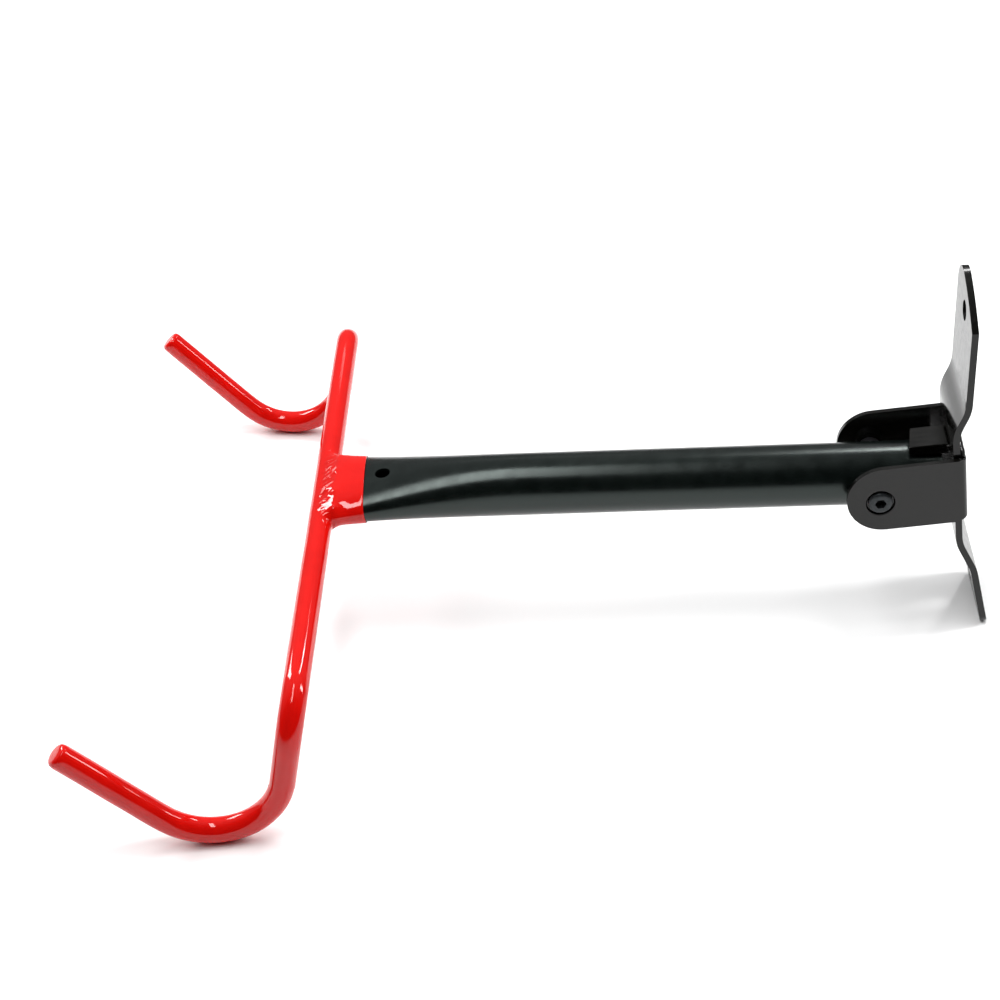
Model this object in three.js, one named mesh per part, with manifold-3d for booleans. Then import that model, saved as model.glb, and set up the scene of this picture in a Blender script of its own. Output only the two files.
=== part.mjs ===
// Folding bicycle wall rack. Millimetres, +Z up, the wall is the plane Y = 0 and the rack stands out along -Y.
// The origin is the point of the wall straight behind the pivot of the arm.
import * as THREE from "three";
import { mergeVertices } from "three/addons/utils/BufferGeometryUtils.js";
import Module from "manifold-3d";

const wasm = await Module();
wasm.setup();

// ---- driving dimensions -------------------------------------------------------------------------------------------

const GAP = 0.3; // clearance kept between neighbouring pieces
const PIVOT_STANDOFF = 61.5; // wall to the pivot's axis
const ARM_RISE = THREE.MathUtils.degToRad(5.5); // the arm climbs outwards when it rests on its stop

// Wall plate: a strip with a joggled middle that stands off the wall, and two pads that flare back to it.
const PLATE_WIDTH = 54;
const PLATE_THICK = 4;
const PLATE_MIDDLE_STANDOFF = 13.8; // wall to the back of the middle
const PLATE_UPPER_HOLE_Z = 108.5;
const PLATE_TOP_Z = 128;
const PLATE_SHOULDER_Z = 109; // the right edge ends here and the upper end slants up to the left
const PLATE_PEAK = [-11, 127.4]; // X and Z where the slant ends
const PLATE_LEFT_Z = 116; // the left edge ends here in a rounded corner
const PLATE_LOWER_HOLE_Z = -85;
const PLATE_BOTTOM_Z = -106.5;
const PLATE_CORNER_R = 7; // corners of the square lower end
const UPPER_JOGGLE_Z = [41, 55.5]; // inner and outer end of the upper joggle
const LOWER_JOGGLE_Z = [-40, -62];
const UPPER_FLARE = THREE.MathUtils.degToRad(5); // slope of each pad against the wall before it is screwed down
const LOWER_FLARE = THREE.MathUtils.degToRad(7);
const JOGGLE_BEND_R = 26;
const SCREW_HOLE_R = 6;

// Clevis: one folded sheet, its web behind the plate's middle and its two cheeks in front of it.
const CLEVIS_THICK = 3;
const CLEVIS_INSIDE = 55; // between the cheeks
const CLEVIS_WEB_BACK = 10.5; // wall to the back of the web
const CLEVIS_BEND_R = 2.2; // to the middle of the sheet
const CHEEK_R = 22.3; // round front end, half the height of a cheek
const CHEEK_CENTRE = [-58.8, 2]; // Y and Z of that round end's centre
const CHEEK_CORNER_R = 8; // lower back corner
const DIMPLE_R = 8.4; // pressed seat of the bolt's head, in the right cheek only
const DIMPLE_DEPTH = 2;

// Pivot: button-head bolt, steel sleeve through the arm, nylon thrust washers, steel washer and lock nut.
const BOLT_R = 4;
const BOLT_HEAD_R = 7.5;
const BOLT_HEAD_HEIGHT = 3.4;
const HEX_SOCKET = 6; // across flats
const HEX_SOCKET_DEPTH = 2.4;
const SLEEVE_R = 7;
const SLEEVE_HALF = 23;
const THRUST_WASHER_R = 7;
const NUT_FLATS = 13;
const NUT_HEIGHT = 6.5;
const NUT_COLLAR_HEIGHT = 1.7;
const INSERT_R = 5.3; // nylon ring in the nut's collar
const INSERT_HEIGHT = 2.4;
const WASHER_R = 8.2;
const WASHER_THICK = 1.5;
const BOLT_TAIL = 1.5; // threads showing past the nut

// Stop block on the plate's middle, above the short end of the arm.
const STOP_WIDTH = 20;
const STOP_Z = [17.3, 23];
const STOP_FRONT = 40; // wall to the middle of the block's front face
const STOP_SKEW = 3; // the block was cut out of square: its right end is this much longer than its left
const STOP_WELD = 2.2; // leg of the fillet weld down each side of the block

// Two fillet welds join the clevis to the plate, along the upper and the lower edge of its web.
const PLATE_WELD = 3.2; // leg
const PLATE_WELD_HALF = 26; // half the length

// Arm tube: round from the pivot outwards, pressed to a wide tongue where it meets the cradle.
const TUBE_R = 19;
const TUBE_WALL = 2;
const TUBE_TAIL = 38; // behind the pivot
const REACH = 334.4; // pivot to the cradle's crossbar, along the arm
const TUBE_ABOVE_BAR = 3.2; // the tube's axis lies above the bar's
const TONGUE_END = 6.8; // crossbar's axis to the cut end of the tongue
const TONGUE_HALF_HEIGHT = 9.6; // of the fully pressed section
const TONGUE_HALF_WIDTH = 31.2;
const PRESS_START = 5; // the pressing runs between these two distances from the bar
const PRESS_END = 125;
const DRAIN_HOLE_R = 4.6;
const DRAIN_HOLE_AT = 37.4; // from the bar's axis
const DRAIN_HOLE_X = 2.2; // drilled a little off the middle

// Cradle: one bent bar, a straight crossbar between two hooks, dipped in vinyl together with the tongue.
const BAR_R = 6.35;
const DIP = 1.09; // thickness of the vinyl
const BAR_SPAN = 390; // crossbar between its two corners
const BAR_CORNER_R = 28.3;
const DROP_LEAN = THREE.MathUtils.degToRad(12.2); // each drop leans outwards
const DROP = 131.8; // corner to corner
const HOOK_R = 40.5;
const HOOK_RISE = THREE.MathUtils.degToRad(48); // climb of each hook's outer arm
const HOOK_ARM = 153.5; // lower corner to tip
const HOOK_TOE = THREE.MathUtils.degToRad(5); // each hook's plane opens outwards
const TIP_ROUND = 2;
const DIP_EDGE = 26.5; // the vinyl ends here on the tongue, from the bar's axis
const WELD_HALF = 27; // half the length of each fillet weld

// ---- finishes -----------------------------------------------------------------------------------------------------

const finish = (name, color, roughness, metalness) =>
  new THREE.MeshStandardMaterial({ name, color, roughness, metalness });
const BLACK_ENAMEL = ["black enamel", 0x2b2e2c, 0.35, 0];
const BLACK_OXIDE = ["black oxide", 0x1c1d1f, 0.4, 0.6];
const RED_VINYL = ["red vinyl", 0xe41814, 0.18, 0];
const NYLON = ["nylon", 0x141414, 0.5, 0];
const BARE_STEEL = ["bare steel", 0x8c8f92, 0.4, 1];

// ---- solids and joins ---------------------------------------------------------------------------------------------

/** A closed geometry as a manifold solid. */
function solid(geometry) {
  const bare = new THREE.BufferGeometry().setAttribute("position", geometry.getAttribute("position").clone());
  if (geometry.index) bare.setIndex(geometry.index.clone());
  const merged = mergeVertices(bare, 1e-4);
  return new wasm.Manifold(
    new wasm.Mesh({
      numProp: 3,
      vertProperties: merged.attributes.position.array,
      triVerts: new Uint32Array(merged.index.array),
    }),
  );
}

/** A manifold solid as a geometry. */
function geometryOf(body) {
  const mesh = body.getMesh();
  const position = new THREE.BufferAttribute(new Float32Array(mesh.vertProperties), 3);
  const geometry = new THREE.BufferGeometry().setAttribute("position", position);
  return geometry.setIndex(new THREE.BufferAttribute(new Uint32Array(mesh.triVerts), 1));
}

const ALONG_X = new THREE.Matrix4().makeBasis(
  new THREE.Vector3(0, 1, 0),
  new THREE.Vector3(0, 0, 1),
  new THREE.Vector3(1, 0, 0),
); // a shape drawn in Y and Z, pushed along X
const ALONG_Y = new THREE.Matrix4().makeBasis(
  new THREE.Vector3(1, 0, 0),
  new THREE.Vector3(0, 0, 1),
  new THREE.Vector3(0, -1, 0),
); // a shape drawn in X and Z, pushed along -Y

/** Extrudes a shape by depth, starting at start along the pushed axis. */
function prism(shape, matrix, start, depth, curveSegments = 12) {
  const geometry = new THREE.ExtrudeGeometry(shape, { depth, bevelEnabled: false, curveSegments, steps: 1 });
  return geometry.translate(0, 0, start).applyMatrix4(matrix);
}

/** A round bar along X between two places, about the line (y, z). */
function barX(radius, from, to, y = 0, z = 0, sides = 28) {
  const geometry = new THREE.CylinderGeometry(radius, radius, to - from, sides);
  return geometry.rotateZ(-Math.PI / 2).translate((from + to) / 2, y, z);
}

/** A turned piece: [radius, x] pairs revolved about X. */
function turnedX(profile, sides = 28) {
  const points = profile.map(([radius, x]) => new THREE.Vector2(radius, x));
  return new THREE.LatheGeometry(points, sides).rotateZ(-Math.PI / 2);
}

/** Points and left-hand normals along a polyline whose inner corners are rounded to a radius. */
function roundedRun(corners, radius, arcSteps) {
  const run = [];
  const at = corners.map(([u, v]) => new THREE.Vector2(u, v));
  const directions = at.slice(1).map((end, i) => end.clone().sub(at[i]).normalize());
  const leftOf = (d) => new THREE.Vector2(-d.y, d.x);
  run.push({ point: at[0], normal: leftOf(directions[0]) });
  for (let i = 1; i < at.length - 1; i++) {
    const [before, after] = [directions[i - 1], directions[i]];
    const turn = Math.atan2(before.cross(after), before.dot(after));
    const centre = at[i]
      .clone()
      .addScaledVector(before, -radius * Math.tan(Math.abs(turn) / 2))
      .addScaledVector(leftOf(before), radius * Math.sign(turn));
    for (let k = 0; k <= arcSteps; k++) {
      const normal = leftOf(before).rotateAround(new THREE.Vector2(), (turn * k) / arcSteps);
      run.push({ point: centre.clone().addScaledVector(normal, -radius * Math.sign(turn)), normal });
    }
  }
  run.push({ point: at[at.length - 1], normal: leftOf(directions[directions.length - 1]) });
  return run;
}

/** The outline of a strip of sheet bent along a polyline through the middle of the sheet. */
function bentStrip(corners, thickness, radius, arcSteps) {
  const run = roundedRun(corners, radius, arcSteps);
  const side = (offset) => run.map(({ point, normal }) => point.clone().addScaledVector(normal, offset));
  return new THREE.Shape([...side(-thickness / 2), ...side(thickness / 2).reverse()]);
}

// ---- wall side ----------------------------------------------------------------------------------------------------

const PLATE_HALF = PLATE_WIDTH / 2;
const PLATE_FRONT = PLATE_MIDDLE_STANDOFF + PLATE_THICK;

/** Distance from the wall to the middle of a pad's sheet at height z: the pad's end touches the wall. */
function padMiddle(z) {
  const upper = z > 0;
  const flare = upper ? UPPER_FLARE : LOWER_FLARE;
  const fromEnd = upper ? PLATE_TOP_Z - z : z - PLATE_BOTTOM_Z;
  return fromEnd * Math.tan(flare) + PLATE_THICK / 2;
}

/** Turns a solid made about the row's Y axis through height z into the slope of the pad there. */
function onPad(geometry, z) {
  const slope = z > 0 ? UPPER_FLARE : -LOWER_FLARE;
  return geometry.rotateX(slope).translate(0, -padMiddle(z), z);
}

function wallPlate() {
  const middle = PLATE_MIDDLE_STANDOFF + PLATE_THICK / 2;
  const line = [
    [-padMiddle(PLATE_TOP_Z), PLATE_TOP_Z],
    [-padMiddle(UPPER_JOGGLE_Z[1]), UPPER_JOGGLE_Z[1]],
    [-middle, UPPER_JOGGLE_Z[0]],
    [-middle, LOWER_JOGGLE_Z[0]],
    [-padMiddle(LOWER_JOGGLE_Z[1]), LOWER_JOGGLE_Z[1]],
    [-padMiddle(PLATE_BOTTOM_Z), PLATE_BOTTOM_Z],
  ];
  const bent = prism(bentStrip(line, PLATE_THICK, JOGGLE_BEND_R, 5), ALONG_X, -PLATE_HALF, PLATE_WIDTH);
  const outline = new THREE.Shape();
  outline.moveTo(PLATE_HALF, PLATE_SHOULDER_Z);
  outline.quadraticCurveTo(PLATE_HALF - 19, PLATE_SHOULDER_Z + 13.5, ...PLATE_PEAK);
  outline.quadraticCurveTo(PLATE_PEAK[0] - 13, PLATE_PEAK[1] + 1.5, -PLATE_HALF, PLATE_LEFT_Z);
  outline.lineTo(-PLATE_HALF, PLATE_BOTTOM_Z + PLATE_CORNER_R);
  outline.absarc(
    -PLATE_HALF + PLATE_CORNER_R,
    PLATE_BOTTOM_Z + PLATE_CORNER_R,
    PLATE_CORNER_R,
    Math.PI,
    1.5 * Math.PI,
  );
  outline.absarc(
    PLATE_HALF - PLATE_CORNER_R,
    PLATE_BOTTOM_Z + PLATE_CORNER_R,
    PLATE_CORNER_R,
    1.5 * Math.PI,
    2 * Math.PI,
  );
  outline.closePath();
  let plate = solid(bent).intersect(solid(prism(outline, ALONG_Y, -1, PLATE_FRONT + 2)));
  for (const z of [PLATE_UPPER_HOLE_Z, PLATE_LOWER_HOLE_Z]) {
    const drill = new THREE.CylinderGeometry(SCREW_HOLE_R, SCREW_HOLE_R, 4 * PLATE_THICK, 32);
    plate = plate.subtract(solid(onPad(drill, z)));
  }
  return geometryOf(plate);
}

function clevisBracket() {
  const cheekX = CLEVIS_INSIDE / 2 + CLEVIS_THICK / 2;
  const webY = -(CLEVIS_WEB_BACK + CLEVIS_THICK / 2);
  const frontY = CHEEK_CENTRE[0] - CHEEK_R - 1;
  const channel = bentStrip(
    [
      [-cheekX, frontY],
      [-cheekX, webY],
      [cheekX, webY],
      [cheekX, frontY],
    ],
    CLEVIS_THICK,
    CLEVIS_BEND_R,
    5,
  );
  const bottomZ = CHEEK_CENTRE[1] - CHEEK_R;
  const folded = new THREE.ExtrudeGeometry(channel, { depth: 2 * CHEEK_R, bevelEnabled: false, steps: 1 });
  folded.translate(0, 0, bottomZ);
  const side = new THREE.Shape();
  side.absarc(CHEEK_CENTRE[0], CHEEK_CENTRE[1], CHEEK_R, 0.5 * Math.PI, 1.5 * Math.PI);
  side.absarc(
    -CLEVIS_WEB_BACK - CHEEK_CORNER_R,
    bottomZ + CHEEK_CORNER_R,
    CHEEK_CORNER_R,
    1.5 * Math.PI,
    2 * Math.PI,
  );
  side.lineTo(-CLEVIS_WEB_BACK, CHEEK_CENTRE[1] + CHEEK_R);
  side.closePath();
  const outer = CLEVIS_INSIDE / 2 + CLEVIS_THICK;
  let body = solid(folded).intersect(solid(prism(side, ALONG_X, -outer - 1, 2 * outer + 2, 14)));
  const inner = CLEVIS_INSIDE / 2;
  const boss = barX(DIMPLE_R + 2, inner - DIMPLE_DEPTH, inner + 1, -PIVOT_STANDOFF);
  const seat = barX(DIMPLE_R, outer - DIMPLE_DEPTH, outer + 1, -PIVOT_STANDOFF);
  const right = barX(BOLT_R + GAP, inner - DIMPLE_DEPTH - 1, outer + 1, -PIVOT_STANDOFF);
  const left = barX(BOLT_R + GAP, -outer - 1, -inner + 1, -PIVOT_STANDOFF);
  body = body.add(solid(boss)).subtract(solid(seat)).subtract(solid(right)).subtract(solid(left));
  return geometryOf(body);
}

/** The weld between the plate's back and one edge of the clevis's web: upper (sign 1) or lower (sign -1). */
function plateWeld(sign) {
  const face = -PLATE_MIDDLE_STANDOFF + GAP;
  const edge = CHEEK_CENTRE[1] + CHEEK_R + GAP;
  const section = new THREE.Shape();
  if (sign > 0) {
    section.moveTo(face, edge);
    section.lineTo(face + PLATE_WELD - GAP, edge);
    section.quadraticCurveTo(face + 1.7, edge + 1.7, face, edge + PLATE_WELD);
  } else {
    const corner = [-CLEVIS_WEB_BACK - CHEEK_CORNER_R, CHEEK_CENTRE[1] - CHEEK_R + CHEEK_CORNER_R];
    const round = CHEEK_CORNER_R + GAP + 0.1;
    const from = Math.acos((face - corner[0]) / round);
    const to = from - 0.32;
    section.absarc(corner[0], corner[1], round, -from, -to);
    const foot = corner[1] - round * Math.sin(from) - PLATE_WELD;
    section.quadraticCurveTo(face + 1.2, edge - 2 * CHEEK_R - 1.8, face, foot);
  }
  section.closePath();
  return prism(section, ALONG_X, -PLATE_WELD_HALF, 2 * PLATE_WELD_HALF, 4);
}

function stopBlock() {
  const face = new THREE.Shape();
  const [bottom, top] = STOP_Z;
  const back = -PLATE_FRONT - GAP;
  const slope = (STOP_FRONT + back) * Math.tan(ARM_RISE); // its underside lies along the resting arm
  face.moveTo(-STOP_FRONT, bottom);
  face.lineTo(back, bottom - slope);
  face.lineTo(back, top);
  face.lineTo(-STOP_FRONT + 1, top);
  face.lineTo(-STOP_FRONT, top - 1);
  face.closePath();
  const geometry = prism(face, ALONG_X, -STOP_WIDTH / 2, STOP_WIDTH);
  const position = geometry.getAttribute("position");
  for (let i = 0; i < position.count; i++) {
    const reach = (-position.getY(i) + back) / (STOP_FRONT + back); // 0 at the plate, 1 at the front
    position.setY(i, position.getY(i) - (reach * STOP_SKEW * position.getX(i)) / STOP_WIDTH);
  }
  return geometry;
}

/** The fillet weld down one side of the stop block. */
function stopWeld(sign) {
  const [bottom, top] = STOP_Z;
  const [x, y] = [STOP_WIDTH / 2 + GAP, -PLATE_FRONT - GAP];
  const section = new THREE.Shape();
  section.moveTo(x, y);
  section.lineTo(x, y - STOP_WELD);
  section.quadraticCurveTo(x + 0.7 * STOP_WELD, y - 0.7 * STOP_WELD, x + STOP_WELD, y);
  section.closePath();
  const options = { depth: top - bottom - 1, bevelEnabled: false, curveSegments: 4, steps: 1 };
  const geometry = new THREE.ExtrudeGeometry(section, options).translate(0, 0, bottom + 0.5);
  if (sign > 0) return geometry;
  return geometry.translate(0, -y, 0).rotateX(Math.PI).rotateZ(Math.PI).translate(0, y, bottom + top);
}

// ---- pivot --------------------------------------------------------------------------------------------------------

const CHEEK_OUTER = CLEVIS_INSIDE / 2 + CLEVIS_THICK;
const SEAT_X = CHEEK_OUTER - DIMPLE_DEPTH; // floor of the dimple
const BOSS_X = CLEVIS_INSIDE / 2 - DIMPLE_DEPTH; // inner face of the dimple
const WASHER_OUT = CHEEK_OUTER + GAP + WASHER_THICK;
const NUT_IN = WASHER_OUT + GAP;
const NUT_OUT = NUT_IN + NUT_HEIGHT + NUT_COLLAR_HEIGHT;

/** A hexagonal bar along X. */
function hexX(flats, from, to) {
  return barX(flats / Math.sqrt(3), from, to, 0, 0, 6);
}

function pivotBolt() {
  const seat = SEAT_X + GAP;
  const top = seat + BOLT_HEAD_HEIGHT;
  const tail = -(NUT_OUT + BOLT_TAIL);
  const turned = turnedX([
    [0, tail],
    [BOLT_R - 0.8, tail],
    [BOLT_R, tail + 0.8],
    [BOLT_R, seat],
    [BOLT_HEAD_R - 0.3, seat],
    [BOLT_HEAD_R, seat + 0.5],
    [BOLT_HEAD_R, seat + 1.6],
    [BOLT_HEAD_R - 0.9, seat + 2.7],
    [BOLT_HEAD_R - 2.1, seat + 3.15],
    [BOLT_HEAD_R - 3.3, top],
    [0, top],
  ]);
  const socket = solid(hexX(HEX_SOCKET, top - HEX_SOCKET_DEPTH, top + 1));
  return geometryOf(solid(turned).subtract(socket));
}

function ringX(inner, outer, from, to) {
  return geometryOf(solid(barX(outer, from, to)).subtract(solid(barX(inner, from - 1, to + 1))));
}

function pivotNut() {
  const collar = barX(NUT_FLATS / 2 - 0.3, -NUT_OUT, -NUT_IN - NUT_HEIGHT + 0.1);
  const blank = solid(hexX(NUT_FLATS, -NUT_IN - NUT_HEIGHT, -NUT_IN)).add(solid(collar));
  const bore = solid(barX(BOLT_R + GAP, -NUT_OUT - 1, -NUT_IN + 1));
  const pocket = solid(barX(INSERT_R + GAP, -NUT_OUT - 1, -NUT_OUT + INSERT_HEIGHT + GAP));
  return geometryOf(blank.subtract(bore).subtract(pocket));
}

// ---- arm, in its own frame: origin on the pivot, -Y along the tube, Z up -----------------------------------------

/** How far the pressing has let go at a distance from the bar: 0 is a flat tongue, 1 is a round tube. */
function roundness(distance) {
  const part = THREE.MathUtils.clamp((distance - PRESS_START) / (PRESS_END - PRESS_START), 0, 1);
  return Math.sin((part * Math.PI) / 2);
}

/** Presses a round tube made about Y into an oval that widens along X as its height shrinks. */
function pressed(geometry) {
  const position = geometry.getAttribute("position");
  const oval = (part, power) => Math.sign(part) * Math.abs(part) ** power;
  for (let i = 0; i < position.count; i++) {
    const [x, y, z] = [position.getX(i), position.getY(i), position.getZ(i)];
    const radius = Math.hypot(x, z);
    if (radius < 1e-6) continue;
    const flatness = 1 - roundness(y + REACH);
    const halfWidth = radius + flatness * (TONGUE_HALF_WIDTH - TUBE_R);
    const halfHeight = radius - flatness * (TUBE_R - TONGUE_HALF_HEIGHT);
    const power = 1 - 0.12 * flatness;
    position.setXYZ(i, halfWidth * oval(x / radius, power), y, halfHeight * oval(z / radius, power));
  }
  return geometry;
}

/** Distances from the bar at which the tube needs a ring: close together where it changes shape. */
function pressRings(from, to) {
  const rings = [from];
  for (let step = 0; step <= 12; step++) {
    const at = THREE.MathUtils.lerp(PRESS_START, PRESS_END, step / 12);
    if (at > from + 2 && at < to - 2) rings.push(at);
  }
  return [...rings, to];
}

/** A solid of the tube's outer shape grown by extra, between two distances from the bar. */
function pressedSolid(extra, from, to, sides = 40) {
  const side = pressRings(from, to).map((at) => new THREE.Vector2(TUBE_R + extra, at - REACH));
  const profile = [new THREE.Vector2(0, from - REACH), ...side, new THREE.Vector2(0, to - REACH)];
  return pressed(new THREE.LatheGeometry(profile, sides));
}

function armTube() {
  const rings = pressRings(TONGUE_END, REACH + TUBE_TAIL).map((at) => at - REACH);
  const outer = rings.map((y) => new THREE.Vector2(TUBE_R, y));
  const inner = rings.map((y) => new THREE.Vector2(TUBE_R - TUBE_WALL, y)).reverse();
  const wall = pressed(new THREE.LatheGeometry([...outer, ...inner, outer[0]], 40));
  const drain = new THREE.CylinderGeometry(DRAIN_HOLE_R, DRAIN_HOLE_R, TUBE_R, 24).rotateX(Math.PI / 2);
  drain.translate(DRAIN_HOLE_X, DRAIN_HOLE_AT - REACH, TUBE_R / 2);
  const pivot = barX(SLEEVE_R + GAP, -TUBE_R - 1, TUBE_R + 1);
  return geometryOf(solid(wall).subtract(solid(drain)).subtract(solid(pivot)));
}

/** The bar's centre line: straight runs joined by exact arcs, with a station at each end of each run. */
class BarLine extends THREE.Curve {
  constructor(trim = 0) {
    super();
    const side = (sign) => {
      const plane = new THREE.Vector3(sign * Math.sin(HOOK_TOE), -Math.cos(HOOK_TOE), 0);
      const up = new THREE.Vector3(0, 0, 1);
      const down = plane.clone().multiplyScalar(Math.sin(DROP_LEAN)).addScaledVector(up, -Math.cos(DROP_LEAN));
      const out = plane.clone().multiplyScalar(Math.cos(HOOK_RISE)).addScaledVector(up, Math.sin(HOOK_RISE));
      const corner = new THREE.Vector3((sign * BAR_SPAN) / 2, 0, 0);
      const low = corner.clone().addScaledVector(down, DROP);
      return [corner, low, low.clone().addScaledVector(out, HOOK_ARM - trim)];
    };
    const corners = [...side(-1).reverse(), ...side(1)];
    const radii = [HOOK_R, BAR_CORNER_R, BAR_CORNER_R, HOOK_R];
    this.stations = [{ point: corners[0], tangent: corners[1].clone().sub(corners[0]).normalize() }];
    radii.forEach((radius, i) => this.addArc(corners[i], corners[i + 1], corners[i + 2], radius));
    const last = corners[5].clone().sub(corners[4]).normalize();
    this.stations.push({ point: corners[5], tangent: last });
    this.steps = this.stations.length - 1;
  }

  addArc(from, corner, to, radius, arcSteps = 8) {
    const before = corner.clone().sub(from).normalize();
    const after = to.clone().sub(corner).normalize();
    const turn = before.angleTo(after);
    const inward = after.clone().addScaledVector(before, -before.dot(after)).normalize();
    const centre = corner
      .clone()
      .addScaledVector(before, -radius * Math.tan(turn / 2))
      .addScaledVector(inward, radius);
    for (let k = 0; k <= arcSteps; k++) {
      const angle = (turn * k) / arcSteps;
      const point = centre
        .clone()
        .addScaledVector(inward, -radius * Math.cos(angle))
        .addScaledVector(before, radius * Math.sin(angle));
      const tangent = before.clone().multiplyScalar(Math.cos(angle)).addScaledVector(inward, Math.sin(angle));
      this.stations.push({ point, tangent });
    }
  }

  getPointAt(u, target = new THREE.Vector3()) {
    return target.copy(this.stations[Math.round(u * this.steps)].point);
  }

  getTangentAt(u, target = new THREE.Vector3()) {
    return target.copy(this.stations[Math.round(u * this.steps)].tangent);
  }
}

/** The bar swept with a round section, its two ends set back by trim. */
function sweptBar(radius, trim, sides) {
  const line = new BarLine(trim);
  const section = new THREE.Shape();
  section.absarc(0, 0, radius, 0, 2 * Math.PI);
  const geometry = new THREE.ExtrudeGeometry(section, {
    steps: line.steps,
    curveSegments: sides,
    extrudePath: line,
  });
  return geometry;
}

/** One fillet weld between the bar and the tongue's end, above (sign 1) or below (sign -1), grown by extra. */
function weldPrism(sign, extra) {
  const height = TONGUE_HALF_HEIGHT + (sign > 0 ? -3.3 : -0.8) + extra;
  const section = new THREE.Shape();
  const axis = sign * TUBE_ABOVE_BAR;
  section.moveTo(TONGUE_END - GAP + extra, 0);
  section.lineTo(TONGUE_END - GAP + extra, height + axis);
  section.quadraticCurveTo(3, height + axis - 0.8, -extra, BAR_R - 1);
  section.lineTo(0, 0);
  section.closePath();
  const half = WELD_HALF + extra;
  const geometry = prism(section, ALONG_X, -half, 2 * half, 4);
  return sign > 0 ? geometry : geometry.applyMatrix4(new THREE.Matrix4().makeScale(-1, 1, -1));
}

function weld(sign) {
  const bar = barX(BAR_R + GAP, -WELD_HALF - 5, WELD_HALF + 5);
  return geometryOf(solid(weldPrism(sign, 0)).subtract(solid(bar)));
}

/** The vinyl: everything the dip covered, grown by its thickness, less what it covers. */
function cradleDip() {
  const tongue = (extra, from, to) =>
    pressedSolid(extra, from, to).translate(0, REACH, TUBE_ABOVE_BAR); // to the bar's frame
  const outside = solid(sweptBar(BAR_R + DIP, 0, 11))
    .add(solid(tongue(DIP, 1, DIP_EDGE)))
    .add(solid(weldPrism(1, DIP)))
    .add(solid(weldPrism(-1, DIP)));
  const inside = solid(sweptBar(BAR_R + GAP, DIP, 7))
    .add(solid(tongue(GAP, TONGUE_END - GAP, DIP_EDGE + 5)))
    .add(solid(weldPrism(1, GAP)))
    .add(solid(weldPrism(-1, GAP)));
  return geometryOf(outside.subtract(inside));
}

// ---- the assembly -------------------------------------------------------------------------------------------------

const rack = new THREE.Group();
const pivot = new THREE.Group(); // the pivot's axis, fixed to the wall side
pivot.position.set(0, -PIVOT_STANDOFF, 0);
const arm = new THREE.Group(); // turns about the pivot
arm.rotation.x = -ARM_RISE;
const cradle = new THREE.Group(); // the bar's frame, on the arm
cradle.position.set(0, -REACH, -TUBE_ABOVE_BAR);
rack.add(pivot);
pivot.add(arm);
arm.add(cradle);

/** Adds one named piece to a group. */
function piece(group, name, geometry, look) {
  const mesh = new THREE.Mesh(geometry, finish(...look));
  mesh.name = name;
  group.add(mesh);
  return mesh;
}

piece(rack, "wall_plate", wallPlate(), BLACK_ENAMEL);
piece(rack, "clevis_bracket", clevisBracket(), BLACK_ENAMEL);
piece(rack, "stop_block", stopBlock(), BLACK_ENAMEL);
piece(rack, "stop_weld_right", stopWeld(1), BLACK_ENAMEL);
piece(rack, "stop_weld_left", stopWeld(-1), BLACK_ENAMEL);
piece(rack, "plate_weld_upper", plateWeld(1), BLACK_ENAMEL);
piece(rack, "plate_weld_lower", plateWeld(-1), BLACK_ENAMEL);

piece(pivot, "pivot_bolt", pivotBolt(), BLACK_OXIDE);
piece(pivot, "nut_washer", ringX(BOLT_R + GAP, WASHER_R, -WASHER_OUT, -CHEEK_OUTER - GAP), BLACK_OXIDE);
piece(pivot, "pivot_nut", pivotNut(), BLACK_OXIDE);
piece(pivot, "nut_insert", ringX(BOLT_R + GAP, INSERT_R, -NUT_OUT, -NUT_OUT + INSERT_HEIGHT), NYLON);
const thrust = (from, to) => ringX(BOLT_R + GAP, THRUST_WASHER_R, from, to);
piece(pivot, "thrust_washer_right", thrust(SLEEVE_HALF + GAP, BOSS_X - GAP), NYLON);
piece(pivot, "thrust_washer_left", thrust(-CLEVIS_INSIDE / 2 + GAP, -SLEEVE_HALF - GAP), NYLON);

piece(arm, "arm_tube", armTube(), BLACK_ENAMEL);
piece(arm, "pivot_sleeve", ringX(BOLT_R + GAP, SLEEVE_R, -SLEEVE_HALF, SLEEVE_HALF), BARE_STEEL);
piece(cradle, "cradle_bar", sweptBar(BAR_R, DIP + GAP, 8), BARE_STEEL);
piece(cradle, "weld_upper", weld(1), BARE_STEEL);
piece(cradle, "weld_lower", weld(-1), BARE_STEEL);
piece(cradle, "cradle_dip", cradleDip(), RED_VINYL);

export default rack;
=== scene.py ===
"""Folding bicycle wall rack: fine geometry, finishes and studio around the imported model.

The rack lies face up on a pale table, resting on its hooks and on the foot of its wall plate. Sizes are in
millimetres; every mesh is scaled to metres when it is made.
"""

import logging
import math
from dataclasses import dataclass, field
from enum import Enum
from typing import Iterable, Optional, Sequence

import bmesh
import bpy
from mathutils import Matrix, Vector, noise

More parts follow.
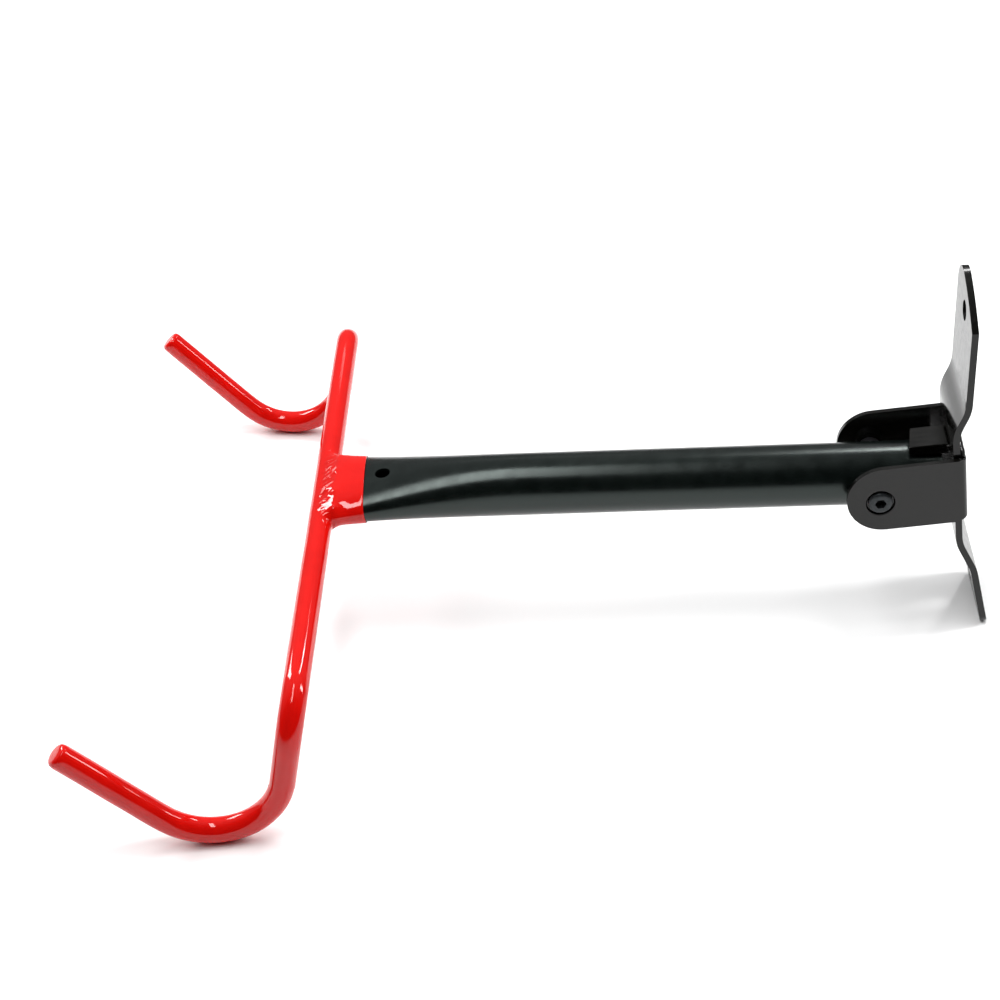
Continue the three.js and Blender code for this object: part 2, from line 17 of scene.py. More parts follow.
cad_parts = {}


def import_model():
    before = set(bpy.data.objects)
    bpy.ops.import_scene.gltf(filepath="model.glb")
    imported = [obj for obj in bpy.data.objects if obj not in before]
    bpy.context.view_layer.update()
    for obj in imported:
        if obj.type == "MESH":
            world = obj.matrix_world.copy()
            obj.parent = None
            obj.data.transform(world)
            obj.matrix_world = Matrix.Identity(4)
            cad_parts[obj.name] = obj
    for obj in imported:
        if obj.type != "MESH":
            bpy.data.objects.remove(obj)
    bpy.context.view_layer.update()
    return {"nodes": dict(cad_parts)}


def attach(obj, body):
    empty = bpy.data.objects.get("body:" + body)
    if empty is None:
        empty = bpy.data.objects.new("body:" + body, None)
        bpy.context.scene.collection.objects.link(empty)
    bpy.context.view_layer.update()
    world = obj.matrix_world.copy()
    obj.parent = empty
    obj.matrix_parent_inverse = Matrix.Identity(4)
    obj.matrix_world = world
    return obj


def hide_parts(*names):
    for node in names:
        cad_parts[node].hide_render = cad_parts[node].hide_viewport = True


LOG = logging.getLogger("rack")
MM = 0.001
ORIGIN = Vector((0.0, 0.0, 0.0))
X_AXIS = Vector((1.0, 0.0, 0.0))
Y_AXIS = Vector((0.0, 1.0, 0.0))
Z_AXIS = Vector((0.0, 0.0, 1.0))
PIVOT_Y = -61.5  # the bolt's distance in front of the wall
CLIMB = math.radians(5.5)  # how far the arm points upwards at rest
BEAD_SMOOTH = 60.0  # a weld bead's ripples flow into each other up to this angle


class Body(Enum):
    """The rigid bodies of the rack."""

    WALL_SIDE = "wall_side"
    ARM = "arm"


class Slot(Enum):
    """The record's material slots."""

    ENAMEL = "enamel"
    BLACK_OXIDE = "black_oxide"
    NYLON = "nylon"
    BARE_STEEL = "bare_steel"
    VINYL = "vinyl"


# ---- finishes ------------------------------------------------------------------------------------


def linear(hex_colour: int) -> tuple[float, float, float, float]:
    """Turns an sRGB hex colour into linear red, green, blue and an alpha of 1.

    Args:
        hex_colour: the colour as 0xRRGGBB.

    Returns:
        Linear components from 0 to 1.
    """
    parts = []
    for shift in (16, 8, 0):
        value = ((hex_colour >> shift) & 0xFF) / 255.0
        parts.append(value / 12.92 if value <= 0.04045 else ((value + 0.055) / 1.055) ** 2.4)
    return (parts[0], parts[1], parts[2], 1.0)


def add_node(
    tree: bpy.types.NodeTree,
    kind: str,
    inputs: Optional[dict] = None,
    links: Optional[dict] = None,
    **settings: object,
) -> bpy.types.Node:
    """Adds one node with its settings, input values and links.

    Args:
        tree: the node tree that receives the node.
        kind: the node's type name.
        inputs: values by socket name or index.
        links: output sockets of other nodes by this node's socket name or index.
        **settings: the node's own properties.

    Returns:
        The new node.
    """
    node = tree.nodes.new(kind)
    for name, value in settings.items():
        setattr(node, name, value)
    for name, value in (inputs or {}).items():
        node.inputs[name].default_value = value
    for name, output in (links or {}).items():
        tree.links.new(output, node.inputs[name])
    return node


@dataclass(frozen=True)
class Texture:
    """A noise pattern at a real size.

    Attributes:
        size_mm: size of one cell of the pattern.
        detail: octaves of finer noise on top.
        stretch: how much longer the cells are along X, Y and Z.
    """

    size_mm: float
    detail: float = 2.0
    stretch: tuple[float, float, float] = (1.0, 1.0, 1.0)

    def build(self, tree: bpy.types.NodeTree) -> bpy.types.Node:
        """Adds the pattern to a tree on Object coordinates and returns its noise node."""
        place = add_node(tree, "ShaderNodeTexCoord")
        squeeze = tuple(1.0 / part for part in self.stretch)
        mapping = add_node(
            tree, "ShaderNodeMapping", inputs={"Scale": squeeze}, links={"Vector": place.outputs["Object"]}
        )
        return add_node(
            tree,
            "ShaderNodeTexNoise",
            inputs={"Scale": 1000.0 / self.size_mm, "Detail": self.detail, "Roughness": 0.55},
            links={"Vector": mapping.outputs["Vector"]},
        )


@dataclass(frozen=True)
class Finish:
    """A surface: its shader values and the patterns that break them up.

    Attributes:
        name: the material's real-world name.
        shade: colour where the pattern is low.
        tint: colour where the pattern is high.
        roughness: lowest and highest roughness.
        metallic: 0 for a coating or plastic, 1 for bare metal.
        ior: index of refraction of a coating or plastic.
        mottle: pattern of the colour and roughness.
        relief: pattern of the bumps.
        depth_mm: height of the bumps.
        swell: broad pattern of a second, gentler relief.
        swell_mm: height of that relief.
        specular: how strongly the surface mirrors, 0.5 being the value its index gives.
        glint: tint of what it mirrors.
    """

    name: str
    shade: int
    tint: int
    roughness: tuple[float, float]
    mottle: Texture
    relief: Texture
    depth_mm: float
    metallic: float = 0.0
    ior: float = 1.5
    swell: Optional[Texture] = None
    swell_mm: float = 0.0
    specular: float = 0.5
    glint: tuple[float, float, float] = (1.0, 1.0, 1.0)

    def build(self) -> bpy.types.Material:
        """Makes the material, or returns it if it was made already."""
        made = bpy.data.materials.get(self.name)
        if made:
            return made
        material = bpy.data.materials.new(self.name)
        material.use_nodes = True
        tree = material.node_tree
        tree.nodes.clear()
        mottle = self.mottle.build(tree)
        colour = add_node(tree, "ShaderNodeValToRGB", links={"Fac": mottle.outputs["Fac"]})
        colour.color_ramp.elements[0].position = 0.35
        colour.color_ramp.elements[0].color = linear(self.shade)
        colour.color_ramp.elements[1].position = 0.65
        colour.color_ramp.elements[1].color = linear(self.tint)
        gloss = add_node(
            tree,
            "ShaderNodeMapRange",
            inputs={
                "From Min": 0.35,
                "From Max": 0.65,
                "To Min": self.roughness[0],
                "To Max": self.roughness[1],
            },
            links={"Value": mottle.outputs["Fac"]},
        )
        bump = add_node(
            tree,
            "ShaderNodeBump",
            inputs={"Strength": 1.0, "Distance": self.depth_mm * MM},
            links={"Height": self.relief.build(tree).outputs["Fac"]},
        )
        if self.swell:
            bump = add_node(
                tree,
                "ShaderNodeBump",
                inputs={"Strength": 1.0, "Distance": self.swell_mm * MM},
                links={
                    "Height": self.swell.build(tree).outputs["Fac"],
                    "Normal": bump.outputs["Normal"],
                },
            )
        shader = add_node(
            tree,
            "ShaderNodeBsdfPrincipled",
            inputs={
                "Metallic": self.metallic,
                "IOR": self.ior,
                "Specular IOR Level": self.specular,
                "Specular Tint": (*self.glint, 1.0),
            },
            links={
                "Base Color": colour.outputs["Color"],
                "Roughness": gloss.outputs["Result"],
                "Normal": bump.outputs["Normal"],
            },
        )
        add_node(tree, "ShaderNodeOutputMaterial", links={"Surface": shader.outputs["BSDF"]})
        return material

    def dress(self, thing: bpy.types.Object) -> None:
        """Gives an object this finish alone.

        Args:
            thing: the mesh object to dress.
        """
        material = self.build()
        if not thing.data.materials:
            thing.data.materials.append(material)
        for socket in thing.material_slots:
            socket.material = material


# Electrostatic powder coat on drawn steel tube: satin, with the faint orange peel that the powder
# leaves as it flows.
TUBE_POWDER_COAT = Finish(
    name="powder_coat_satin_black",
    shade=0x060A09,
    tint=0x0A0F0E,
    roughness=(0.22, 0.27),
    mottle=Texture(size_mm=9.0, detail=3.0),
    relief=Texture(size_mm=1.3, detail=1.0),
    depth_mm=0.006,
    ior=1.5,
    glint=(0.86, 1.0, 0.95),
)

# The same powder on pressed sheet, where it flowed out flat: glossier, with the sheet's rolling lines showing
# through.
SHEET_POWDER_COAT = Finish(
    name="powder_coat_gloss_black",
    shade=0x070706,
    tint=0x0D0C0A,
    roughness=(0.15, 0.22),
    mottle=Texture(size_mm=4.0, detail=4.0, stretch=(1.0, 6.0, 1.0)),
    relief=Texture(size_mm=0.9, detail=3.0, stretch=(1.0, 7.0, 1.0)),
    depth_mm=0.004,
    ior=1.5,
    specular=0.36,
)

# Plastisol, a vinyl paste that sets as a thick skin on the hot bar: very glossy, with slow waves
# where it ran.
DIPPED_VINYL = Finish(
    name="plastisol_dip_red",
    shade=0xC60C07,
    tint=0xCC0F09,
    roughness=(0.05, 0.07),
    mottle=Texture(size_mm=14.0, detail=2.0),
    relief=Texture(size_mm=3.5, detail=1.0),
    depth_mm=0.006,
    ior=1.53,
    swell=Texture(size_mm=16.0, detail=0.0, stretch=(2.0, 1.0, 1.0)),
    swell_mm=0.10,
    specular=0.38,
)

# Heat-blackened alloy steel screw: a dark metal with a waxy, slightly uneven sheen.
BLACK_OXIDE_STEEL = Finish(
    name="black_oxide_steel",
    shade=0x2C2F31,
    tint=0x383B3D,
    roughness=(0.34, 0.46),
    mottle=Texture(size_mm=1.6, detail=4.0),
    relief=Texture(size_mm=0.5, detail=2.0),
    depth_mm=0.004,
    metallic=0.7,
)

# Moulded nylon 6 bearing washers: black, waxy and dull.
MOULDED_NYLON = Finish(
    name="nylon_black",
    shade=0x111112,
    tint=0x17171A,
    roughness=(0.42, 0.52),
    mottle=Texture(size_mm=3.0, detail=3.0),
    relief=Texture(size_mm=0.6, detail=2.0),
    depth_mm=0.005,
    ior=1.53,
)

# Undyed nylon ring crimped into the lock nut: milky, half matt.
NUT_NYLON = Finish(
    name="nylon_natural",
    shade=0xC9C6BA,
    tint=0xD6D3C8,
    roughness=(0.4, 0.5),
    mottle=Texture(size_mm=2.0, detail=2.0),
    relief=Texture(size_mm=0.6, detail=2.0),
    depth_mm=0.004,
    ior=1.53,
)

# Cold-drawn bar before it is coated: bright, with draw lines along its length.
DRAWN_STEEL = Finish(
    name="cold_drawn_steel",
    shade=0x8D8F91,
    tint=0xA3A5A6,
    roughness=(0.3, 0.4),
    mottle=Texture(size_mm=1.0, detail=4.0, stretch=(30.0, 1.0, 1.0)),
    relief=Texture(size_mm=0.4, detail=2.0, stretch=(30.0, 1.0, 1.0)),
    depth_mm=0.003,
    metallic=1.0,
)


# ---- mesh tools ----------------------------------------------------------------------------------


def turned(
    profile: Sequence[tuple[float, float]],
    axis: Vector,
    centre: Vector,
    steps: int = 64,
) -> bmesh.types.BMesh:
    """Turns a profile on a lathe.

    Args:
        profile: pairs of radius and distance along the axis, in order; it starts and ends on the axis
            or closes on itself.
        axis: direction of the lathe's axis.
        centre: a point on the axis, where the distance is 0.
        steps: sides of the turned piece.

    Returns:
        The closed mesh with its faces pointing outwards.
    """
    mesh = bmesh.new()
    side = axis.orthogonal().normalized()
    points = [centre + axis * along + side * radius for radius, along in profile]
    verts = [mesh.verts.new(point) for point in points]
    edges = [mesh.edges.new(pair) for pair in zip(verts[:-1], verts[1:])]
    if profile[0][0] > 0.0 and profile[-1][0] > 0.0:
        edges.append(mesh.edges.new((verts[-1], verts[0])))
    bmesh.ops.spin(
        mesh,
        geom=verts + edges,
        cent=centre,
        axis=axis,
        angle=2.0 * math.pi,
        steps=steps,
        use_merge=True,
        use_duplicate=False,
    )
    bmesh.ops.remove_doubles(mesh, verts=mesh.verts, dist=1e-4)
    bmesh.ops.recalc_face_normals(mesh, faces=mesh.faces)
    return mesh


def hexagon_bar(flats: float, start: float, end: float, axis: Vector, centre: Vector) -> bmesh.types.BMesh:
    """Makes a hexagonal bar along an axis between two distances from a centre."""
    mesh = bmesh.new()
    radius = flats / math.sqrt(3.0)
    bmesh.ops.create_cone(
        mesh, cap_ends=True, segments=6, radius1=radius, radius2=radius, depth=end - start
    )
    turn = Z_AXIS.rotation_difference(axis).to_matrix().to_4x4()
    middle = centre + axis * ((start + end) / 2.0)
    bmesh.ops.transform(mesh, matrix=Matrix.Translation(middle) @ turn, verts=mesh.verts)
    return mesh


def scratch_object(mesh: bmesh.types.BMesh, name: str = "scratch") -> bpy.types.Object:
    """Puts a mesh in a temporary object, freeing the mesh."""
    data = bpy.data.meshes.new(name)
    mesh.to_mesh(data)
    mesh.free()
    thing = bpy.data.objects.new(name, data)
    bpy.context.scene.collection.objects.link(thing)
    return thing


def baked(thing: bpy.types.Object) -> bmesh.types.BMesh:
    """Applies an object's modifiers, removes the object and returns the result as a mesh in work."""
    bpy.context.view_layer.update()
    evaluated = thing.evaluated_get(bpy.context.evaluated_depsgraph_get())
    data = bpy.data.meshes.new_from_object(evaluated)
    mesh = bmesh.new()
    mesh.from_mesh(data)
    old = thing.data
    bpy.data.objects.remove(thing)
    bpy.data.meshes.remove(old)
    bpy.data.meshes.remove(data)
    return mesh


def carve(
    mesh: bmesh.types.BMesh, tool: bmesh.types.BMesh, operation: str = "DIFFERENCE"
) -> bmesh.types.BMesh:
    """Cuts, joins or intersects a mesh with a tool; both meshes are used up.

    Args:
        mesh: the work.
        tool: the tool's shape.
        operation: DIFFERENCE, UNION or INTERSECT.

    Returns:
        The result.
    """
    work = scratch_object(mesh)
    cutter = scratch_object(tool, "tool")
    modifier = work.modifiers.new("cut", "BOOLEAN")
    modifier.operation = operation
    modifier.object = cutter
    modifier.solver = "EXACT"
    result = baked(work)
    data = cutter.data
    bpy.data.objects.remove(cutter)
    bpy.data.meshes.remove(data)
    return result


def thickened(mesh: bmesh.types.BMesh, thickness: float, offset: float) -> bmesh.types.BMesh:
    """Gives a sheet its thickness: offset 0 keeps the sheet in the middle, -1 grows it inwards."""
    sheet = scratch_object(mesh)
    modifier = sheet.modifiers.new("wall", "SOLIDIFY")
    modifier.thickness = thickness
    modifier.offset = offset
    modifier.use_even_offset = True
    return baked(sheet)


def subdivided(mesh: bmesh.types.BMesh, levels: int) -> bmesh.types.BMesh:
    """Smooths a cage into its subdivision surface."""
    cage = scratch_object(mesh)
    modifier = cage.modifiers.new("smooth", "SUBSURF")
    modifier.levels = levels
    modifier.render_levels = levels
    return baked(cage)


def softened(
    mesh: bmesh.types.BMesh, width: float, segments: int = 3, degrees: float = 40.0
) -> bmesh.types.BMesh:
    """Rounds every edge sharper than an angle over to a width."""
    work = scratch_object(mesh)
    modifier = work.modifiers.new("round", "BEVEL")
    modifier.width = width
    modifier.segments = segments
    modifier.limit_method = "ANGLE"
    modifier.angle_limit = math.radians(degrees)
    modifier.harden_normals = False
    return baked(work)


def slice_along(mesh: bmesh.types.BMesh, axis: Vector, places: Iterable[float]) -> None:
    """Cuts a mesh across an axis at several places, leaving it in one piece."""
    for place in places:
        bmesh.ops.bisect_plane(
            mesh,
            geom=mesh.verts[:] + mesh.edges[:] + mesh.faces[:],
            plane_co=axis * place,
            plane_no=axis,
            dist=1e-5,
        )


@dataclass
class Workshop:
    """Makes the rack's fine pieces and hands them to the frame."""

    made: list[str] = field(default_factory=list)

    def finish_piece(
        self,
        name: str,
        mesh: bmesh.types.BMesh,
        finish: Finish,
        slot: Slot,
        body: Body,
        replaces: Sequence[str],
        smooth_degrees: float = 30.0,
    ) -> None:
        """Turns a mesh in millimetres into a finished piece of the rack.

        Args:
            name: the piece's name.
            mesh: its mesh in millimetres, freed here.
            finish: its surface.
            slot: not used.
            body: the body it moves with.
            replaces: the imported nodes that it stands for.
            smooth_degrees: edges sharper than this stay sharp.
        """
        bmesh.ops.scale(mesh, vec=Vector((MM, MM, MM)), verts=mesh.verts)
        data = bpy.data.meshes.new(name)
        mesh.to_mesh(data)
        mesh.free()
        data.shade_smooth()
        data.set_sharp_from_angle(angle=math.radians(smooth_degrees))
        piece = bpy.data.objects.new(name, data)
        bpy.context.scene.collection.objects.link(piece)
        weighted = piece.modifiers.new("even_shading", "WEIGHTED_NORMAL")
        weighted.keep_sharp = True
        weighted.weight = 60
        finish.dress(piece)
        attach(piece, body.value)
        if replaces:
            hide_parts(*replaces)
        self.made.append(name)
        LOG.info("%s: %d faces, rides on %s", name, len(data.polygons), body.value)

    def sheet_piece(
        self, name: str, mesh: bmesh.types.BMesh, replaces: str, smooth_degrees: float = 30.0
    ) -> None:
        """Finishes a powder-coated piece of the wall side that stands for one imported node."""
        self.finish_piece(
            name, mesh, SHEET_POWDER_COAT, Slot.ENAMEL, Body.WALL_SIDE, [replaces], smooth_degrees
        )


# ---- wall side -----------------------------------------------------------------------------------


def curve(
    start: tuple[float, float], control: tuple[float, float], end: tuple[float, float], steps: int
) -> list[tuple[float, float]]:
    """Returns points along a quadratic curve, both ends included."""
    points = []
    for step in range(steps + 1):
        t = step / steps
        weights = ((1.0 - t) ** 2, 2.0 * t * (1.0 - t), t * t)
        points.append(tuple(sum(w * p[i] for w, p in zip(weights, (start, control, end))) for i in (0, 1)))
    return points


@dataclass
class WallPlate:
    """The strip that is screwed to the wall: a joggled middle and two pads that flare back to the wall."""

    shop: Workshop
    width: float = 54.0
    thick: float = 4.0
    middle_y: float = -15.8
    top_z: float = 128.0
    shoulder_z: float = 109.0
    peak: tuple[float, float] = (-11.0, 127.4)
    left_z: float = 116.0
    bottom_z: float = -106.5
    hole_z: tuple[float, float] = (108.5, -85.0)
    hole_r: float = 6.0
    corner_r: float = 7.0
    upper_joggle: tuple[float, float] = (41.0, 55.5)
    lower_joggle: tuple[float, float] = (-40.0, -62.0)
    upper_flare: float = math.radians(5.0)
    lower_flare: float = math.radians(7.0)
    bend_r: float = 26.0

    def pad_y(self, z: float) -> float:
        """Returns Y of the middle of a pad's sheet at a height."""
        if z > 0.0:
            return -((self.top_z - z) * math.tan(self.upper_flare) + self.thick / 2.0)
        return -((z - self.bottom_z) * math.tan(self.lower_flare) + self.thick / 2.0)

    def bends(self) -> list[tuple[float, float, float, float]]:
        """Returns each bend as its corner's z and y and the slopes dy/dz below and above it."""
        upper_low, upper_high = self.upper_joggle
        lower_high, lower_low = self.lower_joggle
        corners = [
            (self.bottom_z, self.pad_y(self.bottom_z)),
            (lower_low, self.pad_y(lower_low)),
            (lower_high, self.middle_y),
            (upper_low, self.middle_y),
            (upper_high, self.pad_y(upper_high)),
            (self.top_z, self.pad_y(self.top_z)),
        ]
        slopes = [(b[1] - a[1]) / (b[0] - a[0]) for a, b in zip(corners[:-1], corners[1:])]
        return [(z, y, slopes[i], slopes[i + 1]) for i, (z, y) in enumerate(corners[1:-1])]

    def sheet_y(self, z: float) -> float:
        """Returns Y of the middle of the sheet at a height, with each bend an arc."""
        bends = self.bends()
        first_z, first_y, first_slope, _ = bends[0]
        y = first_y + (z - first_z) * first_slope
        for corner_z, _, below, above in bends:
            reach = self.bend_reach(below, above)
            if z <= corner_z - reach:
                continue
            run = min(z - (corner_z - reach), 2.0 * reach)
            y += (above - below) * (run * run / (4.0 * reach))
            y += (above - below) * max(0.0, z - corner_z - reach)
        return y

    def bend_reach(self, below: float, above: float) -> float:
        """Returns how far along Z a bend runs to each side of its corner."""
        return self.bend_r * math.tan(abs(math.atan(above) - math.atan(below)) / 2.0) + 0.3

    def outline(self) -> list[tuple[float, float]]:
        """Returns X and Z round the flat blank: square foot, slanted and rounded upper end."""
        half = self.width / 2.0
        foot = []
        for centre_x, start in ((self.corner_r - half, 180.0), (half - self.corner_r, 270.0)):
            for step in range(9):
                angle = math.radians(start + 90.0 * step / 8.0)
                x = centre_x + self.corner_r * math.cos(angle)
                foot.append((x, self.bottom_z + self.corner_r * (1.0 + math.sin(angle))))
        peak_x, peak_z = self.peak
        right, left = (half, self.shoulder_z), (-half, self.left_z)
        slant = curve(right, (half - 19.0, self.shoulder_z + 13.5), self.peak, 14)
        return foot + slant + curve(self.peak, (peak_x - 13.0, peak_z + 1.5), left, 12)[1:]

    def build(self) -> None:
        """Cuts the blank, bends it, gives it its thickness, drills it and softens its edges."""
        mesh = bmesh.new()
        verts = [mesh.verts.new(Vector((x, 0.0, z))) for x, z in self.outline()]
        edges = [mesh.edges.new(pair) for pair in zip(verts, verts[1:] + verts[:1])]
        bmesh.ops.contextual_create(mesh, geom=edges)
        places = []
        for corner_z, _, below, above in self.bends():
            reach = self.bend_reach(below, above)
            places += [corner_z + reach * (step / 5.0 - 1.0) for step in range(11)]
        slice_along(mesh, Z_AXIS, places)
        for vert in mesh.verts:
            vert.co.y = self.sheet_y(vert.co.z)
        mesh = thickened(mesh, self.thick, 0.0)
        for z, slope in zip(self.hole_z, (self.upper_flare, -self.lower_flare)):
            drill = bmesh.new()
            bmesh.ops.create_cone(
                drill, cap_ends=True, segments=56, radius1=self.hole_r, radius2=self.hole_r, depth=24.0
            )
            turn = Matrix.Rotation(math.pi / 2.0 + slope, 4, "X")
            place = Matrix.Translation(Vector((0.0, self.pad_y(z), z)))
            bmesh.ops.transform(drill, matrix=place @ turn, verts=drill.verts)
            mesh = carve(mesh, drill)
        mesh = softened(mesh, 0.7, 4)
        self.shop.sheet_piece("wall_plate_pressed", mesh, "wall_plate")
        for label, y, z, radius in (("upper", -12.4, 24.5, 2.6), ("lower", -13.0, -18.6, 2.4)):
            bead = weld_bead(Vector((-27.2, y, z)), Vector((27.2, y, z)), radius, 1.7)
            self.shop.sheet_piece(f"plate_bead_{label}", bead, f"plate_weld_{label}", BEAD_SMOOTH)


@dataclass
class Clevis:
    """The folded channel that holds the pivot: a web behind the plate and two cheeks in front of it."""

    shop: Workshop
    thick: float = 3.0
    cheek_x: float = 29.0
    web_y: float = -12.0
    bend_r: float = 2.2
    cheek_r: float = 22.3
    cheek_centre: tuple[float, float] = (-58.8, 2.0)
    corner_r: float = 8.0
    pivot_y: float = PIVOT_Y
    dimple_r: float = 8.4
    dimple_depth: float = 2.0
    bolt_r: float = 4.3

    def folded(self, run: float) -> tuple[float, float]:
        """Returns X and Y of the middle of the sheet at a distance along it from the middle of the web."""
        side = math.copysign(1.0, run)
        flat = self.cheek_x - self.bend_r
        arc = self.bend_r * math.pi / 2.0
        reach = abs(run)
        if reach <= flat:
            return run, self.web_y
        if reach <= flat + arc:
            angle = (reach - flat) / self.bend_r
            x = flat + self.bend_r * math.sin(angle)
            return side * x, self.web_y - self.bend_r * (1.0 - math.cos(angle))
        return side * self.cheek_x, self.web_y - self.bend_r - (reach - flat - arc)

    def lower_edge(self, y: float) -> float:
        """Returns the height of the sheet's lower edge at a depth, with the rounded back corner."""
        bottom = self.cheek_centre[1] - self.cheek_r
        centre_y = self.web_y + 1.5 - self.corner_r
        past = max(0.0, y - centre_y)
        return bottom + self.corner_r - math.sqrt(self.corner_r**2 - min(past, self.corner_r) ** 2)

    def dimple(self) -> tuple[bmesh.types.BMesh, bmesh.types.BMesh]:
        """Returns the boss raised inside the right cheek and the cutter for its seat and hole."""
        outer = self.cheek_x + self.thick / 2.0
        inner = self.cheek_x - self.thick / 2.0
        centre = Vector((0.0, self.pivot_y, 0.0))
        axis = X_AXIS
        floor = inner - self.dimple_depth
        boss = turned(
            [
                (0.0, inner + 1.0),
                (self.dimple_r + 3.2, inner + 1.0),
                (self.dimple_r + 2.9, inner - 0.05),
                (self.dimple_r + 2.2, inner - 0.4),
                (self.dimple_r + 1.6, inner - 1.3),
                (self.dimple_r + 1.0, floor + 0.15),
                (self.dimple_r + 0.4, floor),
                (0.0, floor),
            ],
            axis,
            centre,
        )
        seat = outer - self.dimple_depth
        cutter = turned(
            [
                (0.0, outer + 1.0),
                (self.dimple_r + 1.3, outer + 1.0),
                (self.dimple_r + 0.75, outer - 0.02),
                (self.dimple_r + 0.3, outer - 0.16),
                (self.dimple_r + 0.05, outer - 0.5),
                (self.dimple_r - 0.1, seat + 0.55),
                (self.dimple_r - 0.35, seat + 0.16),
                (self.dimple_r - 0.8, seat),
                (self.bolt_r, seat),
                (self.bolt_r, floor - 1.0),
                (0.0, floor - 1.0),
            ],
            axis,
            centre,
        )
        return boss, cutter

    def build(self) -> None:
        """Cuts the flat blank, folds it, presses the dimple and softens its edges."""
        arc = self.bend_r * math.pi / 2.0
        flat = self.cheek_x - self.bend_r
        front = self.cheek_centre[0] - self.cheek_r
        half = flat + arc + (self.web_y - self.bend_r - front)
        mesh = bmesh.new()
        bmesh.ops.create_grid(mesh, x_segments=1, y_segments=1, size=1.0)
        bmesh.ops.scale(mesh, vec=Vector((half, self.cheek_r, 1.0)), verts=mesh.verts)
        bmesh.ops.rotate(mesh, cent=ORIGIN, matrix=Matrix.Rotation(math.pi / 2.0, 3, "X"), verts=mesh.verts)
        bmesh.ops.translate(mesh, vec=Z_AXIS * self.cheek_centre[1], verts=mesh.verts)
        bmesh.ops.bevel(
            mesh,
            geom=mesh.verts[:],
            offset=self.cheek_r - 0.01,
            offset_type="OFFSET",
            affect="VERTICES",
            segments=20,
            profile=0.5,
            material=-1,
        )
        places = []
        for side in (-1.0, 1.0):
            places += [side * (flat + arc * step / 8.0) for step in range(9)]
            places += [side * (flat + arc + 1.1 * step) for step in range(1, 5)]
        slice_along(mesh, X_AXIS, places)
        bottom = self.cheek_centre[1] - self.cheek_r
        for vert in mesh.verts:
            x, y = self.folded(vert.co.x)
            z = vert.co.z
            if abs(z - bottom) < 1e-3:
                z = self.lower_edge(y)
            vert.co = Vector((x, y, z))
        mesh = thickened(mesh, self.thick, 0.0)
        boss, cutter = self.dimple()
        mesh = carve(mesh, boss, "UNION")
        mesh = carve(mesh, cutter)
        hole = [(0.0, -40.0), (self.bolt_r, -40.0), (self.bolt_r, 0.0), (0.0, 0.0)]
        mesh = carve(mesh, turned(hole, X_AXIS, Vector((0.0, self.pivot_y, 0.0)), 48))
        mesh = softened(mesh, 0.7, 4, 50.0)
        self.shop.sheet_piece("clevis_folded", mesh, "clevis_bracket")


@dataclass
class StopBlock:
    """The block that the short end of the arm comes up against, and its two fillet welds."""

    shop: Workshop
    width: float = 20.0
    front_y: float = -40.0
    back_y: float = -18.1
    bottom_z: float = 17.3
    top_z: float = 23.0
    slope: float = CLIMB
    skew: float = -3.0
    weld_leg: float = 1.5

    def build(self) -> None:
        """Cuts the block and runs a bead of weld down each side."""
        mesh = bmesh.new()
        bmesh.ops.create_cube(mesh, size=1.0)
        size = Vector((self.width, self.back_y - self.front_y, self.top_z - self.bottom_z))
        bmesh.ops.scale(mesh, vec=size, verts=mesh.verts)
        middle = Vector((0.0, (self.front_y + self.back_y) / 2.0, (self.top_z + self.bottom_z) / 2.0))
        bmesh.ops.translate(mesh, vec=middle, verts=mesh.verts)
        low_back = [vert for vert in mesh.verts if vert.co.z < middle.z and vert.co.y > middle.y]
        drop = (self.back_y - self.front_y) * math.tan(self.slope)
        bmesh.ops.translate(mesh, vec=Z_AXIS * -drop, verts=low_back)
        for vert in mesh.verts:
            if vert.co.y < middle.y:
                vert.co.y += self.skew * vert.co.x / self.width
        mesh = softened(mesh, 0.9, 5)
        self.shop.sheet_piece("stop_block_sawn", mesh, "stop_block")
        for side, label in ((1.0, "right"), (-1.0, "left")):
            start = Vector((side * (self.width / 2.0 + 0.2), self.back_y, self.bottom_z + 0.6))
            end = Vector((start.x, start.y, self.top_z - 0.6))
            bead = weld_bead(start, end, self.weld_leg, 40.0)
            self.shop.sheet_piece(f"stop_bead_{label}", bead, f"stop_weld_{label}", BEAD_SMOOTH)


def weld_bead(start: Vector, end: Vector, radius: float, ripple: float) -> bmesh.types.BMesh:
    """Lays a rippled bead of weld between two points.

    Args:
        start: one end, in millimetres.
        end: the other end.
        radius: the bead's radius.
        ripple: spacing of the ripples that the weld pool leaves.

    Returns:
        The bead's closed mesh.
    """
    mesh = bmesh.new()
    length = (end - start).length
    bmesh.ops.create_cone(mesh, cap_ends=True, segments=20, radius1=radius, radius2=radius, depth=length)
    slice_along(mesh, Z_AXIS, [length * (step / 30.0 - 0.5) for step in range(1, 30)])
    for vert in mesh.verts:
        along = vert.co.z / length * 2.0
        swell = 0.93 + 0.05 * math.cos(2.0 * math.pi * vert.co.z / ripple)
        taper = math.sqrt(max(0.15, 1.0 - abs(along) ** 6))
        wander = 1.0 + 0.06 * noise.noise(Vector((vert.co.z * 0.4, 0.0, radius)))
        vert.co.x *= swell * taper * wander
        vert.co.y *= swell * taper * wander
    turn = Z_AXIS.rotation_difference((end - start).normalized()).to_matrix().to_4x4()
    bmesh.ops.transform(mesh, matrix=Matrix.Translation((start + end) / 2.0) @ turn, verts=mesh.verts)
    bmesh.ops.recalc_face_normals(mesh, faces=mesh.faces)
    return mesh


# ---- pivot ---------------------------------------------------------------------------------------


